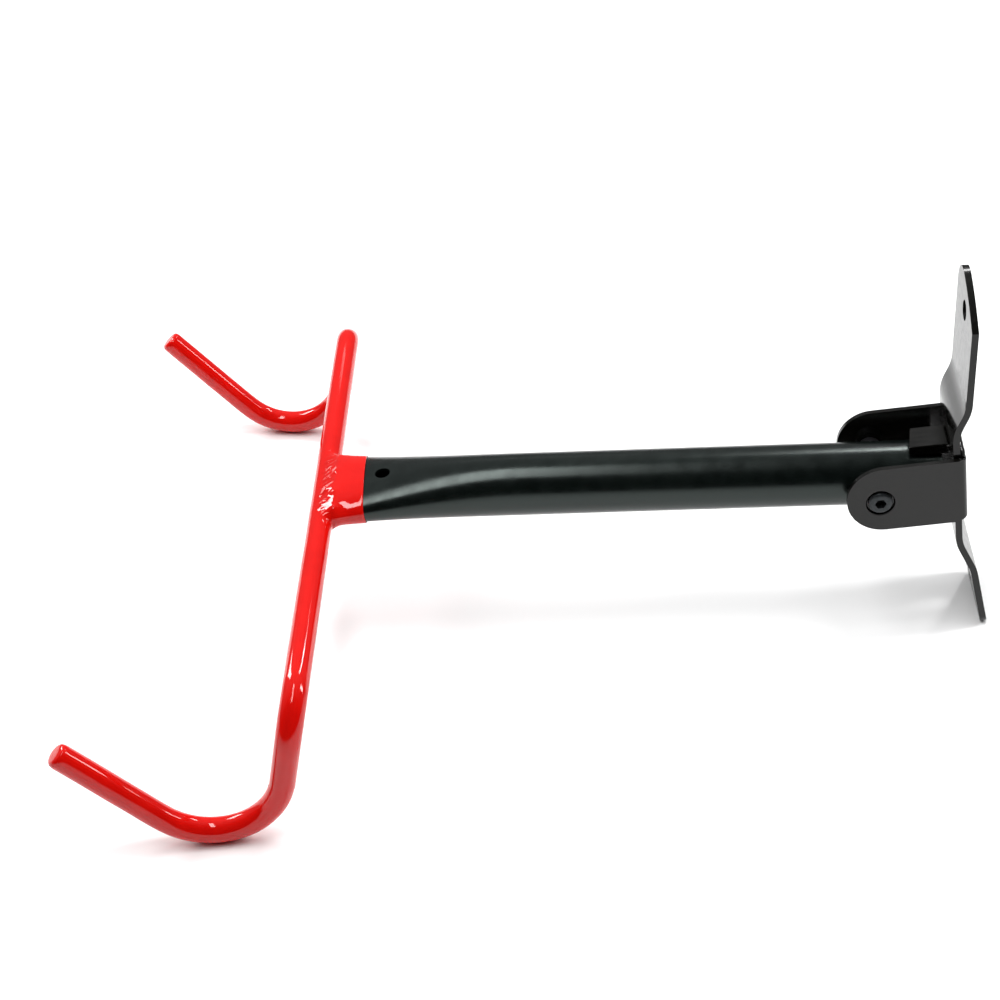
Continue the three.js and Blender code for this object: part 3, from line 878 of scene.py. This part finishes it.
@dataclass
class Pivot:
    """The arm's pivot: a button-head bolt, its washer and lock nut, and two thrust washers."""

    shop: Workshop
    centre: Vector = field(default_factory=lambda: Vector((0.0, PIVOT_Y, 0.0)))
    bolt_r: float = 4.0
    pitch: float = 1.25
    threads: int = 7
    head_r: float = 7.1
    head_seat: float = 28.8
    socket_flats: float = 6.0
    washer: tuple[float, float] = (30.8, 32.3)
    washer_r: float = 8.2
    nut: tuple[float, float] = (32.6, 40.8)
    nut_flats: float = 13.0
    insert_r: float = 5.3
    tail: float = 1.5
    thrust: tuple[float, float] = (23.3, 25.2)
    thrust_left_end: float = 27.2
    thrust_r: float = 7.0

    def bolt(self) -> bmesh.types.BMesh:
        """Turns the bolt, grooves its end for a thread and broaches its hexagonal socket."""
        seat = self.head_seat
        end = -(self.nut[1] + self.tail)
        grooves = []
        for step in range(self.threads):
            top = end + 0.9 + self.pitch * step
            grooves += [(self.bolt_r, top), (self.bolt_r, top + 0.35), (self.bolt_r - 0.6, top + 0.85)]
        profile = [(0.0, end), (self.bolt_r - 0.8, end), *grooves, (self.bolt_r - 0.15, seat)]
        profile += [
            (self.head_r - 0.35, seat),
            (self.head_r - 0.1, seat + 0.15),
            (self.head_r, seat + 0.5),
            (self.head_r, seat + 1.5),
            (self.head_r - 0.1, seat + 1.85),
            (self.head_r - 0.45, seat + 2.3),
            (self.head_r - 1.0, seat + 2.6),
            (self.head_r - 1.7, seat + 2.8),
            (self.head_r - 2.4, seat + 2.9),
            (0.0, seat + 2.9),
        ]
        mesh = turned(profile, X_AXIS, self.centre, 72)
        return carve(mesh, hexagon_bar(self.socket_flats, seat - 2.0, seat + 6.0, X_AXIS, self.centre))

    def ring(
        self, inner: float, outer: float, start: float, end: float, edge: float = 0.25
    ) -> bmesh.types.BMesh:
        """Turns a flat ring with broken edges."""
        profile = [
            (inner, start + edge),
            (inner + edge, start),
            (outer - edge, start),
            (outer - edge * 0.3, start + edge * 0.3),
            (outer, start + edge),
            (outer, end - edge),
            (outer - edge * 0.3, end - edge * 0.3),
            (outer - edge, end),
            (inner + edge, end),
            (inner, end - edge),
        ]
        return turned(profile, X_AXIS, self.centre, 64)

    def lock_nut(self) -> bmesh.types.BMesh:
        """Makes the lock nut: a chamfered hexagon with a rolled collar around its nylon ring."""
        start, end = -self.nut[0], -self.nut[1]
        body_end = start - 6.5
        mesh = hexagon_bar(self.nut_flats, body_end, start, X_AXIS, self.centre)
        corner = self.nut_flats / math.sqrt(3.0)
        flat = self.nut_flats / 2.0
        lathe = turned(
            [
                (0.0, start + 0.01),
                (flat - 0.1, start + 0.01),
                (corner + 0.1, start - 0.75),
                (corner + 0.1, body_end + 0.75),
                (flat - 0.1, body_end - 0.01),
                (0.0, body_end - 0.01),
            ],
            X_AXIS,
            self.centre,
            72,
        )
        mesh = carve(mesh, lathe, "INTERSECT")
        collar = turned(
            [
                (0.0, body_end + 0.5),
                (flat - 0.25, body_end + 0.5),
                (flat - 0.25, body_end - 0.5),
                (flat - 0.5, body_end - 1.2),
                (flat - 0.95, end + 0.12),
                (flat - 1.3, end),
                (0.0, end),
            ],
            X_AXIS,
            self.centre,
            72,
        )
        mesh = carve(mesh, collar, "UNION")
        bore = turned(
            [
                (0.0, start + 1.0),
                (self.bolt_r + 0.3, start + 1.0),
                (self.bolt_r + 0.3, end + 2.7),
                (self.insert_r + 0.1, end + 2.7),
                (self.insert_r + 0.1, end - 1.0),
                (0.0, end - 1.0),
            ],
            X_AXIS,
            self.centre,
            72,
        )
        return carve(mesh, bore)

    def build(self) -> None:
        """Makes every piece of the pivot that can be seen."""
        finish_piece = self.shop.finish_piece
        wall = Body.WALL_SIDE
        finish_piece("bolt_turned", self.bolt(), BLACK_OXIDE_STEEL, Slot.BLACK_OXIDE, wall, ["pivot_bolt"])
        finish_piece("nut_formed", self.lock_nut(), BLACK_OXIDE_STEEL, Slot.BLACK_OXIDE, wall, ["pivot_nut"])
        washer = self.ring(self.bolt_r + 0.3, self.washer_r, -self.washer[1], -self.washer[0])
        finish_piece("washer_stamped", washer, BLACK_OXIDE_STEEL, Slot.BLACK_OXIDE, wall, ["nut_washer"])
        insert = self.ring(self.bolt_r + 0.1, self.insert_r, -self.nut[1] + 0.2, -self.nut[1] + 2.4)
        finish_piece("insert_nylon", insert, NUT_NYLON, Slot.NYLON, wall, ["nut_insert"])
        for side, label in ((1.0, "right"), (-1.0, "left")):
            end = self.thrust[1] if side > 0.0 else self.thrust_left_end
            low, high = sorted((side * self.thrust[0], side * end))
            ring = self.ring(self.bolt_r + 0.3, self.thrust_r, low, high)
            finish_piece(
                f"thrust_ring_{label}", ring, MOULDED_NYLON, Slot.NYLON, wall, [f"thrust_washer_{label}"]
            )


# ---- arm -----------------------------------------------------------------------------------------


@dataclass
class ArmFrame:
    """Where the arm lies at rest: its pivot, its climb, and the cradle's place on it."""

    pivot_y: float = PIVOT_Y
    rise: float = CLIMB
    reach: float = 334.4
    tube_above_bar: float = 3.2

    def arm(self) -> Matrix:
        """Returns the arm's frame: its origin on the pivot, -Y along the tube."""
        return Matrix.Translation(Vector((0.0, self.pivot_y, 0.0))) @ Matrix.Rotation(-self.rise, 4, "X")

    def cradle(self) -> Matrix:
        """Returns the cradle's frame: its origin in the middle of the crossbar, X along it."""
        return self.arm() @ Matrix.Translation(Vector((0.0, -self.reach, -self.tube_above_bar)))


@dataclass
class Press:
    """How the tube is pressed from a round section to a wide tongue at the cradle."""

    tube_r: float = 19.0
    tongue_half: float = 9.6
    tongue_wide: float = 31.2
    start: float = 5.0
    end: float = 125.0

    def roundness(self, distance: float) -> float:
        """Returns 0 where the tube is a flat tongue and 1 where it is round, by distance from the bar."""
        part = min(max((distance - self.start) / (self.end - self.start), 0.0), 1.0)
        return math.sin(part * math.pi / 2.0)

    def section(self, angle: float, distance: float, extra: float = 0.0) -> tuple[float, float]:
        """Returns X and height of the pressed surface, an oval a little flatter than an ellipse.

        Args:
            angle: angle from the top of the round tube, towards +X.
            distance: distance from the bar's axis.
            extra: how far the surface stands off the tube.

        Returns:
            X and the height over the tube's axis, in millimetres.
        """
        flatness = 1.0 - self.roundness(distance)
        half_width = self.tube_r + flatness * (self.tongue_wide - self.tube_r) + extra
        half_height = self.tube_r - flatness * (self.tube_r - self.tongue_half) + extra
        power = 1.0 - 0.12 * flatness
        across, up = math.sin(angle), math.cos(angle)
        x = math.copysign(abs(across) ** power, across) * half_width
        return x, math.copysign(abs(up) ** power, up) * half_height


@dataclass
class ArmTube:
    """The tube of the arm, round at the pivot and pressed wide at the cradle."""

    shop: Workshop
    frame: ArmFrame
    press: Press
    wall: float = 2.0
    tail: float = 38.0
    tongue_end: float = 10.5
    drain_at: float = 37.4
    drain_x: float = 2.2
    drain_r: float = 4.6
    sleeve_r: float = 7.3

    def build(self) -> None:
        """Presses the tube, gives it its wall, drills it and softens its edges."""
        press = self.press
        mesh = bmesh.new()
        front = self.tongue_end - self.frame.reach
        length = self.tail - front
        bmesh.ops.create_cone(
            mesh,
            cap_ends=False,
            segments=120,
            radius1=press.tube_r,
            radius2=press.tube_r,
            depth=length,
        )
        bmesh.ops.rotate(mesh, cent=ORIGIN, matrix=Matrix.Rotation(math.pi / 2.0, 3, "X"), verts=mesh.verts)
        bmesh.ops.translate(mesh, vec=Y_AXIS * (front + length / 2.0), verts=mesh.verts)
        slice_along(mesh, Y_AXIS, [at - self.frame.reach for at in range(8, 127, 2)])
        for vert in mesh.verts:
            angle = math.atan2(vert.co.x, vert.co.z)
            vert.co.x, vert.co.z = press.section(angle, vert.co.y + self.frame.reach)
        bmesh.ops.recalc_face_normals(mesh, faces=mesh.faces)
        if sum(face.normal.dot(face.calc_center_median() * Vector((1, 0, 1))) for face in mesh.faces) < 0.0:
            bmesh.ops.reverse_faces(mesh, faces=mesh.faces)
        mesh = thickened(mesh, self.wall, -1.0)
        drain = turned(
            [(0.0, 1.0), (self.drain_r, 1.0), (self.drain_r, 30.0), (0.0, 30.0)],
            Z_AXIS,
            Vector((self.drain_x, self.drain_at - self.frame.reach, 0.0)),
            56,
        )
        mesh = carve(mesh, drain)
        sleeve = turned(
            [(0.0, -30.0), (self.sleeve_r, -30.0), (self.sleeve_r, 30.0), (0.0, 30.0)], X_AXIS, ORIGIN, 56
        )
        mesh = carve(mesh, sleeve)
        mesh = softened(mesh, 0.45, 3, 55.0)
        bmesh.ops.transform(mesh, matrix=self.frame.arm(), verts=mesh.verts)
        self.shop.finish_piece(
            "arm_tube_pressed", mesh, TUBE_POWDER_COAT, Slot.ENAMEL, Body.ARM, ["arm_tube"], 40.0
        )


@dataclass
class CradleDip:
    """The vinyl skin over the cradle: two hooks, the crossbar between them and the sleeve on the tongue."""

    shop: Workshop
    frame: ArmFrame
    press: Press
    radius: float = 7.44
    span: float = 390.0
    corner_r: float = 28.3
    lean: float = math.radians(12.2)
    drop: float = 131.8
    hook_r: float = 40.5
    hook_rise: float = math.radians(48.0)
    hook_arm: float = 153.5
    toe: float = math.radians(5.0)
    dip: float = 1.09
    dip_edge: float = 26.5
    sides: int = 16
    sleeve_half: float = 38.0
    weld_half: float = 31.0
    clots: tuple[tuple[float, float, float, float], ...] = (
        (9.0, 4.0, 3.6, 1.5),
        (14.5, 8.5, 2.6, 0.9),
        (20.0, 3.0, 2.8, 1.0),
        (27.0, 9.0, 2.4, 0.8),
        (-6.0, 8.0, 3.0, 0.6),
    )

    def half_path(self) -> list[tuple[Vector, Vector]]:
        """Returns the points and directions of the bar's middle line from the crossbar to the right tip."""
        plane = Vector((math.sin(self.toe), -math.cos(self.toe), 0.0))
        down = plane * math.sin(self.lean) - Z_AXIS * math.cos(self.lean)
        out = plane * math.cos(self.hook_rise) + Z_AXIS * math.sin(self.hook_rise)
        corner = Vector((self.span / 2.0, 0.0, 0.0))
        low = corner + down * self.drop
        tip = low + out * self.hook_arm
        stations: list[tuple[Vector, Vector]] = []
        for x in (self.sleeve_half, 50.0, 64.0, 84.0, 104.0, 124.0, 144.0):
            stations.append((Vector((x, 0.0, 0.0)), X_AXIS.copy()))
        stations += self.arc(Vector((0.0, 0.0, 0.0)), corner, low, self.corner_r, 9)
        stations += self.straight(stations[-1][0], down, low, 4)
        stations += self.arc(corner, low, tip, self.hook_r, 12)
        start = stations[-1][0]
        length = (tip - start).length
        for part in (0.14, 0.28, 0.44, 0.6, 0.75, 0.88):
            stations.append((start + out * (length * part), out))
        return stations + [(tip, out)]

    def straight(self, start: Vector, direction: Vector, low: Vector, count: int) -> list:
        """Returns stations on the drop between its two bends."""
        hook_turn = math.pi - (math.pi / 2.0 - self.lean) - (math.pi / 2.0 - self.hook_rise)
        end = low - direction * (self.hook_r * math.tan((math.pi - hook_turn) / 2.0))
        run = end - start
        return [(start + run * (step / (count + 1)), direction) for step in range(1, count + 1)]

    def arc(self, before: Vector, corner: Vector, after: Vector, radius: float, steps: int) -> list:
        """Returns the stations of a bend between two straight runs."""
        inward = (corner - before).normalized()
        outward = (after - corner).normalized()
        turn = inward.angle(outward)
        across = (outward - inward * inward.dot(outward)).normalized()
        centre = corner - inward * (radius * math.tan(turn / 2.0)) + across * radius
        stations = []
        for step in range(steps + 1):
            angle = turn * step / steps
            point = centre - across * (radius * math.cos(angle)) + inward * (radius * math.sin(angle))
            stations.append((point, inward * math.cos(angle) + across * math.sin(angle)))
        return stations

    def cage_radius(self) -> float:
        """Returns the cage's radius, whose subdivision surface has the bar's own."""
        return self.radius * 3.0 / (2.0 + math.cos(2.0 * math.pi / self.sides))

    def half_bar(self, mesh: bmesh.types.BMesh) -> list:
        """Extrudes the right half of the bar, ring by ring, from the sleeve's side to the closed tip.

        Args:
            mesh: the mesh that receives the half.

        Returns:
            The first ring's vertices in order.
        """
        path = self.half_path()
        radius = self.cage_radius()
        first = self.ring_verts(mesh, radius)
        bmesh.ops.translate(mesh, vec=path[0][0], verts=first)
        edges = [mesh.edges.new((first[i], first[(i + 1) % self.sides])) for i in range(self.sides)]
        ring, place, facing = first, path[0][0], path[0][1]
        for point, direction in path[1:-1]:
            ring, edges = self.advance(mesh, ring, edges, place, facing, point, direction, 1.0)
            place, facing = point, direction
        tip, direction = path[-1]
        for back, scale in ((6.0, 1.0), (3.2, 1.0), (1.2, 0.94), (0.2, 0.76), (0.0, 0.42)):
            factor = scale / max(1e-6, (ring[0].co - place).length / radius)
            point = tip - direction * back
            ring, edges = self.advance(mesh, ring, edges, place, facing, point, direction, factor)
            place, facing = point, direction
        bmesh.ops.contextual_create(mesh, geom=ring)
        return first

    def ring_verts(self, mesh: bmesh.types.BMesh, radius: float) -> list:
        """Adds a ring of vertices around X, its first at +Y, turning towards +Z."""
        made = bmesh.ops.create_circle(mesh, cap_ends=False, segments=self.sides, radius=radius)["verts"]
        for edge in {edge for vert in made for edge in vert.link_edges}:
            mesh.edges.remove(edge)
        for index, vert in enumerate(made):
            angle = 2.0 * math.pi * index / self.sides
            vert.co = Vector((0.0, radius * math.cos(angle), radius * math.sin(angle)))
        return list(made)

    def advance(
        self,
        mesh: bmesh.types.BMesh,
        ring: list,
        edges: list,
        place: Vector,
        facing: Vector,
        point: Vector,
        direction: Vector,
        factor: float,
    ) -> tuple[list, list]:
        """Extrudes a ring to the next station and turns it to the new direction.

        Args:
            mesh: the mesh in work.
            ring: the last ring's vertices in order.
            edges: the edges between them.
            place: the last ring's middle.
            facing: the direction the last ring faces.
            point: the next ring's middle.
            direction: the direction the next ring faces.
            factor: how much larger the next ring is.

        Returns:
            The next ring's vertices and edges.
        """
        made = bmesh.ops.extrude_edge_only(mesh, edges=edges)["geom"]
        fresh = [item for item in made if isinstance(item, bmesh.types.BMVert)]
        twin = {}
        for vert in ring:
            for edge in vert.link_edges:
                other = edge.other_vert(vert)
                if other in fresh:
                    twin[vert] = other
        following = [twin[vert] for vert in ring]
        turn = facing.rotation_difference(direction).to_matrix().to_4x4()
        move = Matrix.Translation(point) @ turn @ Matrix.Scale(factor, 4) @ Matrix.Translation(-place)
        bmesh.ops.transform(mesh, matrix=move, verts=following)
        count = len(following)
        next_edges = [mesh.edges.get((following[i], following[(i + 1) % count])) for i in range(count)]
        return following, next_edges

    def crossbar(self, mesh: bmesh.types.BMesh, left: list, right: list) -> list:
        """Joins the two halves across the sleeve, leaving the sleeve's opening.

        Args:
            mesh: the mesh in work.
            left: the left half's first ring.
            right: the right half's first ring.

        Returns:
            The stations' rings from left to right, each a list of its vertices.
        """
        edges = [mesh.edges.get((left[i], left[(i + 1) % self.sides])) for i in range(self.sides)]
        ring, place = left, Vector((-self.sleeve_half, 0.0, 0.0))
        rings = [left]
        for x in self.sleeve_stations():
            point = Vector((x, 0.0, 0.0))
            ring, edges = self.advance(mesh, ring, edges, place, X_AXIS, point, X_AXIS, 1.0)
            rings.append(ring)
            place = point
        pairs = [mesh.edges.get((right[i], right[(i + 1) % self.sides])) for i in range(self.sides)]
        bmesh.ops.bridge_loops(mesh, edges=edges + pairs)
        return rings

    def sleeve_stations(self) -> list[float]:
        """Returns where the crossbar has rings across the sleeve."""
        return [-31.5, -27.0, -21.0, -14.0, -7.0, 0.0, 7.0, 14.0, 21.0, 27.0, 31.5]

    def sleeve(self, mesh: bmesh.types.BMesh, rings: list) -> None:
        """Opens the crossbar's side towards the tube and draws the sleeve out of it along the tongue."""
        low, high = -3, 4
        span = rings[1:]
        doomed = []
        rows = [index % self.sides for index in range(low, high + 1)]
        for first, second in zip(span[:-1], span[1:]):
            for a, b in zip(rows[:-1], rows[1:]):
                wanted = {first[a], first[b], second[a], second[b]}
                for face in first[a].link_faces:
                    if set(face.verts) == wanted:
                        doomed.append(face)
        bmesh.ops.delete(mesh, geom=doomed, context="FACES")
        top = [ring[rows[-1]] for ring in span]
        right = [span[-1][row] for row in reversed(rows[:-1])]
        bottom = [ring[rows[0]] for ring in reversed(span[:-1])]
        left = [span[0][row] for row in rows[1:-1]]
        loop = top + right + bottom + left
        angles = self.loop_angles(len(top), len(right), len(bottom), len(left))
        count = len(loop)
        edges = [mesh.edges.get((loop[i], loop[(i + 1) % count])) for i in range(count)]
        rim = self.dip_edge
        inside = 0.25 - self.dip
        for distance, extra in (
            (9.5, 0.7),
            (15.0, 0.0),
            (20.0, 0.0),
            (rim - 1.6, 0.05),
            (rim - 0.35, 0.05),
            (rim, -0.25),
            (rim + 0.05, inside),
            (rim - 3.0, inside),
        ):
            made = bmesh.ops.extrude_edge_only(mesh, edges=edges)["geom"]
            fresh = {item for item in made if isinstance(item, bmesh.types.BMVert)}
            following = []
            for vert in loop:
                others = [edge.other_vert(vert) for edge in vert.link_edges]
                following.append(next(other for other in others if other in fresh))
            for vert, angle in zip(following, angles):
                x, z = self.press.section(angle, distance, self.dip + extra)
                wave = 0.0 if distance < 16.0 else self.rim_wave(angle)
                vert.co = Vector((x, distance + wave, z + self.frame.tube_above_bar))
            loop = following
            edges = [mesh.edges.get((loop[i], loop[(i + 1) % count])) for i in range(count)]

    def rim_wave(self, angle: float) -> float:
        """Returns how much further the dip reaches along the tongue at an angle from its top."""
        foot = math.exp(-(((math.remainder(angle, 2.0 * math.pi) - 2.0) / 0.55) ** 2))
        return 0.4 * math.sin(2.0 * angle + 0.6) - 0.4 * math.cos(angle) + 1.5 * foot

    def loop_angles(self, top: int, right: int, bottom: int, left: int) -> list[float]:
        """Returns the angle from the tongue's top of each vertex of the opening, in order."""
        edge = math.radians(46.0)
        side = math.pi - 2.0 * edge
        angles = [-edge + 2.0 * edge * i / (top - 1) for i in range(top)]
        angles += [edge + side * (i + 1) / right for i in range(right)]
        angles += [math.pi - edge + 2.0 * edge * (i + 1) / bottom for i in range(bottom)]
        angles += [math.pi + edge + side * (i + 1) / (left + 1) for i in range(left)]
        return angles

    def lumps(self, mesh: bmesh.types.BMesh) -> None:
        """Moves the skin in and out where it lies over the weld and where it ran as it set."""
        mesh.normal_update()
        shifts = {}
        for vert in mesh.verts:
            x, y, z = vert.co
            flow = noise.noise(Vector((x * 0.035, y * 0.06, z * 0.06))) * 0.10
            weld = 0.0
            if abs(x) < self.weld_half and z > 0.0 and -4.0 < y < 14.0:
                fade = min(1.0, (self.weld_half - abs(x)) / 6.0)
                ridge = math.exp(-(((y - 8.5) / 1.5) ** 2)) * 0.34
                pool = math.exp(-(((y - 2.5) / 3.4) ** 2))
                ripple = 0.16 * math.sin(x * 1.35 + 1.2 * noise.noise(Vector((x * 0.2, y * 0.2, 3.0))))
                clot = 0.9 * max(0.0, noise.noise(Vector((x * 0.11, y * 0.14, 7.0))))
                weld = fade * (ridge + pool * (ripple + clot))
                for at_x, at_y, size, height in self.clots:
                    weld += height * math.exp(-(((x - at_x) / size) ** 2) - (((y - at_y) / size) ** 2))
            shifts[vert] = vert.normal * (flow + weld)
        for vert, shift in shifts.items():
            vert.co += shift

    def build(self) -> None:
        """Draws the cage, smooths it, adds the lumps and hangs it on the arm."""
        mesh = bmesh.new()
        right = self.half_bar(mesh)
        bar = mesh.verts[:]
        copy = bmesh.ops.duplicate(mesh, geom=mesh.verts[:] + mesh.edges[:] + mesh.faces[:])
        twin = copy["vert_map"]
        left = [twin[vert] for vert in right]
        fresh = [item for item in copy["geom"] if isinstance(item, bmesh.types.BMVert)]
        fresh = [vert for vert in fresh if vert not in set(bar)]
        bmesh.ops.scale(mesh, vec=Vector((-1.0, 1.0, 1.0)), verts=fresh)
        rings = self.crossbar(mesh, left, right)
        self.sleeve(mesh, rings)
        bmesh.ops.recalc_face_normals(mesh, faces=mesh.faces)
        mesh = subdivided(mesh, 3)
        self.lumps(mesh)
        bmesh.ops.transform(mesh, matrix=self.frame.cradle(), verts=mesh.verts)
        self.shop.finish_piece(
            "cradle_skin", mesh, DIPPED_VINYL, Slot.VINYL, Body.ARM, ["cradle_dip"], 80.0
        )


# ---- studio --------------------------------------------------------------------------------------


@dataclass
class Softbox:
    """One soft area light.

    Attributes:
        name: its name.
        place: where it stands, in metres.
        aim: the point it faces.
        size: its width and height in metres.
        power: watts.
        seen: whether gloss shows it.
    """

    name: str
    place: Vector
    aim: Vector
    size: tuple[float, float]
    power: float
    seen: bool = True

    def build(self) -> None:
        """Adds the light to the scene."""
        data = bpy.data.lights.new(self.name, "AREA")
        data.shape = "RECTANGLE"
        data.size, data.size_y = self.size
        data.energy = self.power
        lamp = bpy.data.objects.new(self.name, data)
        lamp.location = self.place
        lamp.rotation_euler = (self.aim - self.place).to_track_quat("-Z", "Y").to_euler()
        lamp.visible_glossy = self.seen
        lamp.visible_camera = False
        bpy.context.scene.collection.objects.link(lamp)


@dataclass
class Studio:
    """The table the rack lies on, the light tent around it and the camera."""

    focal_mm: float = 74.54
    eye: Vector = field(default_factory=lambda: Vector((1.0099, -0.1478, 0.7650)))
    forward: Vector = field(default_factory=lambda: Vector((-0.796, -0.111, -0.595)))
    up: Vector = field(default_factory=lambda: Vector((-0.605, 0.108, 0.789)))
    table_near: Vector = field(default_factory=lambda: Vector((0.0, -0.4485, -0.0575)))
    table_far: Vector = field(default_factory=lambda: Vector((0.0, -0.0020, -0.1070)))

    def table(self) -> None:
        """Lays the pale table under the hooks and the foot of the plate."""
        mesh = bmesh.new()
        bmesh.ops.create_grid(mesh, x_segments=1, y_segments=1, size=6.0)
        slope = math.atan2(self.table_far.z - self.table_near.z, self.table_far.y - self.table_near.y)
        bmesh.ops.rotate(mesh, cent=ORIGIN, matrix=Matrix.Rotation(slope, 3, "X"), verts=mesh.verts)
        bmesh.ops.translate(mesh, vec=self.table_near, verts=mesh.verts)
        data = bpy.data.meshes.new("table")
        mesh.to_mesh(data)
        mesh.free()
        table = bpy.data.objects.new("table", data)
        bpy.context.scene.collection.objects.link(table)
        material = bpy.data.materials.new("white_laminate")
        material.use_nodes = True
        shader = material.node_tree.nodes["Principled BSDF"]
        shader.inputs["Base Color"].default_value = (0.93, 0.93, 0.93, 1.0)
        shader.inputs["Roughness"].default_value = 0.55
        shader.inputs["Specular IOR Level"].default_value = 0.2
        table.data.materials.append(material)

    def lights(self) -> None:
        """Hangs the softboxes and sets the dim room around them."""
        aim = Vector((0.0, -0.28, -0.02))
        boxes = [
            Softbox("overhead_fill", Vector((0.0, -0.3, 2.2)), aim, (3.2, 3.2), 46.0, seen=False),
            Softbox("key", Vector((0.0, 0.42, 1.65)), aim, (0.5, 0.4), 6.0, seen=False),
            Softbox("overhead_lamp", Vector((0.3, -0.3, 1.55)), aim, (0.2, 0.95), 8.0),
            Softbox("left_strip", Vector((-0.8, -1.25, 0.9)), aim, (0.3, 0.7), 12.0),
            Softbox("right_strip", Vector((-0.25, 1.2, 0.75)), aim, (0.22, 0.75), 10.0),
            Softbox("side_strip", Vector((-0.92, 0.3, 0.95)), aim, (0.08, 0.5), 4.0),
            Softbox("back_strip", Vector((-1.6, -0.3, 1.0)), aim, (0.4, 0.04), 0.12),
        ]
        for box in boxes:
            box.build()
        world = bpy.data.worlds.new("room")
        bpy.context.scene.world = world
        world.use_nodes = True
        tree = world.node_tree
        tree.nodes.clear()
        place = add_node(tree, "ShaderNodeTexCoord")
        split = add_node(tree, "ShaderNodeSeparateXYZ", links={"Vector": place.outputs["Generated"]})
        height = add_node(tree, "ShaderNodeValToRGB", links={"Fac": split.outputs["Z"]})
        stops = height.color_ramp.elements
        stops[0].position, stops[0].color = 0.0, (0.2, 0.2, 0.2, 1.0)
        stops[1].position, stops[1].color = 0.65, (0.38, 0.39, 0.39, 1.0)
        stops.new(0.42).color = (0.26, 0.27, 0.27, 1.0)
        depth = add_node(
            tree,
            "ShaderNodeMapRange",
            inputs={"From Min": -0.35, "From Max": 0.25, "To Min": 1.0, "To Max": 0.05},
            links={"Value": split.outputs["X"]},
        )
        room = add_node(
            tree,
            "ShaderNodeBackground",
            links={"Color": height.outputs["Color"], "Strength": depth.outputs["Result"]},
        )
        white = {"Color": (1.0, 1.0, 1.0, 1.0), "Strength": 1.0}
        paper = add_node(tree, "ShaderNodeBackground", inputs=white)
        path = add_node(tree, "ShaderNodeLightPath")
        mix = add_node(
            tree,
            "ShaderNodeMixShader",
            links={
                0: path.outputs["Is Camera Ray"],
                1: room.outputs["Background"],
                2: paper.outputs["Background"],
            },
        )
        add_node(tree, "ShaderNodeOutputWorld", links={"Surface": mix.outputs["Shader"]})

    def camera(self) -> None:
        """Sets the camera above and to the right of the rack, looking down along its arm."""
        data = bpy.data.cameras.new("camera")
        data.lens = self.focal_mm
        data.sensor_width = 36.0
        data.clip_end = 50.0
        camera = bpy.data.objects.new("camera", data)
        back = -self.forward.normalized()
        right = self.forward.cross(self.up).normalized()
        up = back.cross(right).normalized()
        turn = Matrix((right, up, back)).transposed().to_4x4()
        camera.matrix_world = Matrix.Translation(self.eye) @ turn
        bpy.context.scene.collection.objects.link(camera)
        bpy.context.scene.camera = camera

    def build(self) -> None:
        """Sets up the table, the lights and the camera."""
        self.table()
        self.lights()
        self.camera()
        bpy.context.scene.view_settings.view_transform = "Standard"


# ---- the rack ------------------------------------------------------------------------------------


def dress_hidden(nodes: dict[str, bpy.types.Object]) -> None:
    """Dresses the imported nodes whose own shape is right."""
    for name in ("pivot_sleeve", "cradle_bar", "weld_upper", "weld_lower"):
        if name in nodes:
            DRAWN_STEEL.dress(nodes[name])
            LOG.info("%s: packed node, finish %s", name, DRAWN_STEEL.name)


def main() -> None:
    """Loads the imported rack, makes its fine pieces, dresses it and sets up the studio."""
    logging.basicConfig(level=logging.INFO, format="%(message)s")
    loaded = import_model()
    shop = Workshop()
    studio = Studio()
    studio.build()
    WallPlate(shop).build()
    Clevis(shop).build()
    StopBlock(shop).build()
    Pivot(shop).build()
    frame = ArmFrame()
    press = Press()
    ArmTube(shop, frame, press).build()
    CradleDip(shop, frame, press).build()
    dress_hidden(loaded["nodes"])
    bpy.context.view_layer.update()
    LOG.info("%d fine pieces", len(shop.made))


if __name__ == "__main__":
    main()
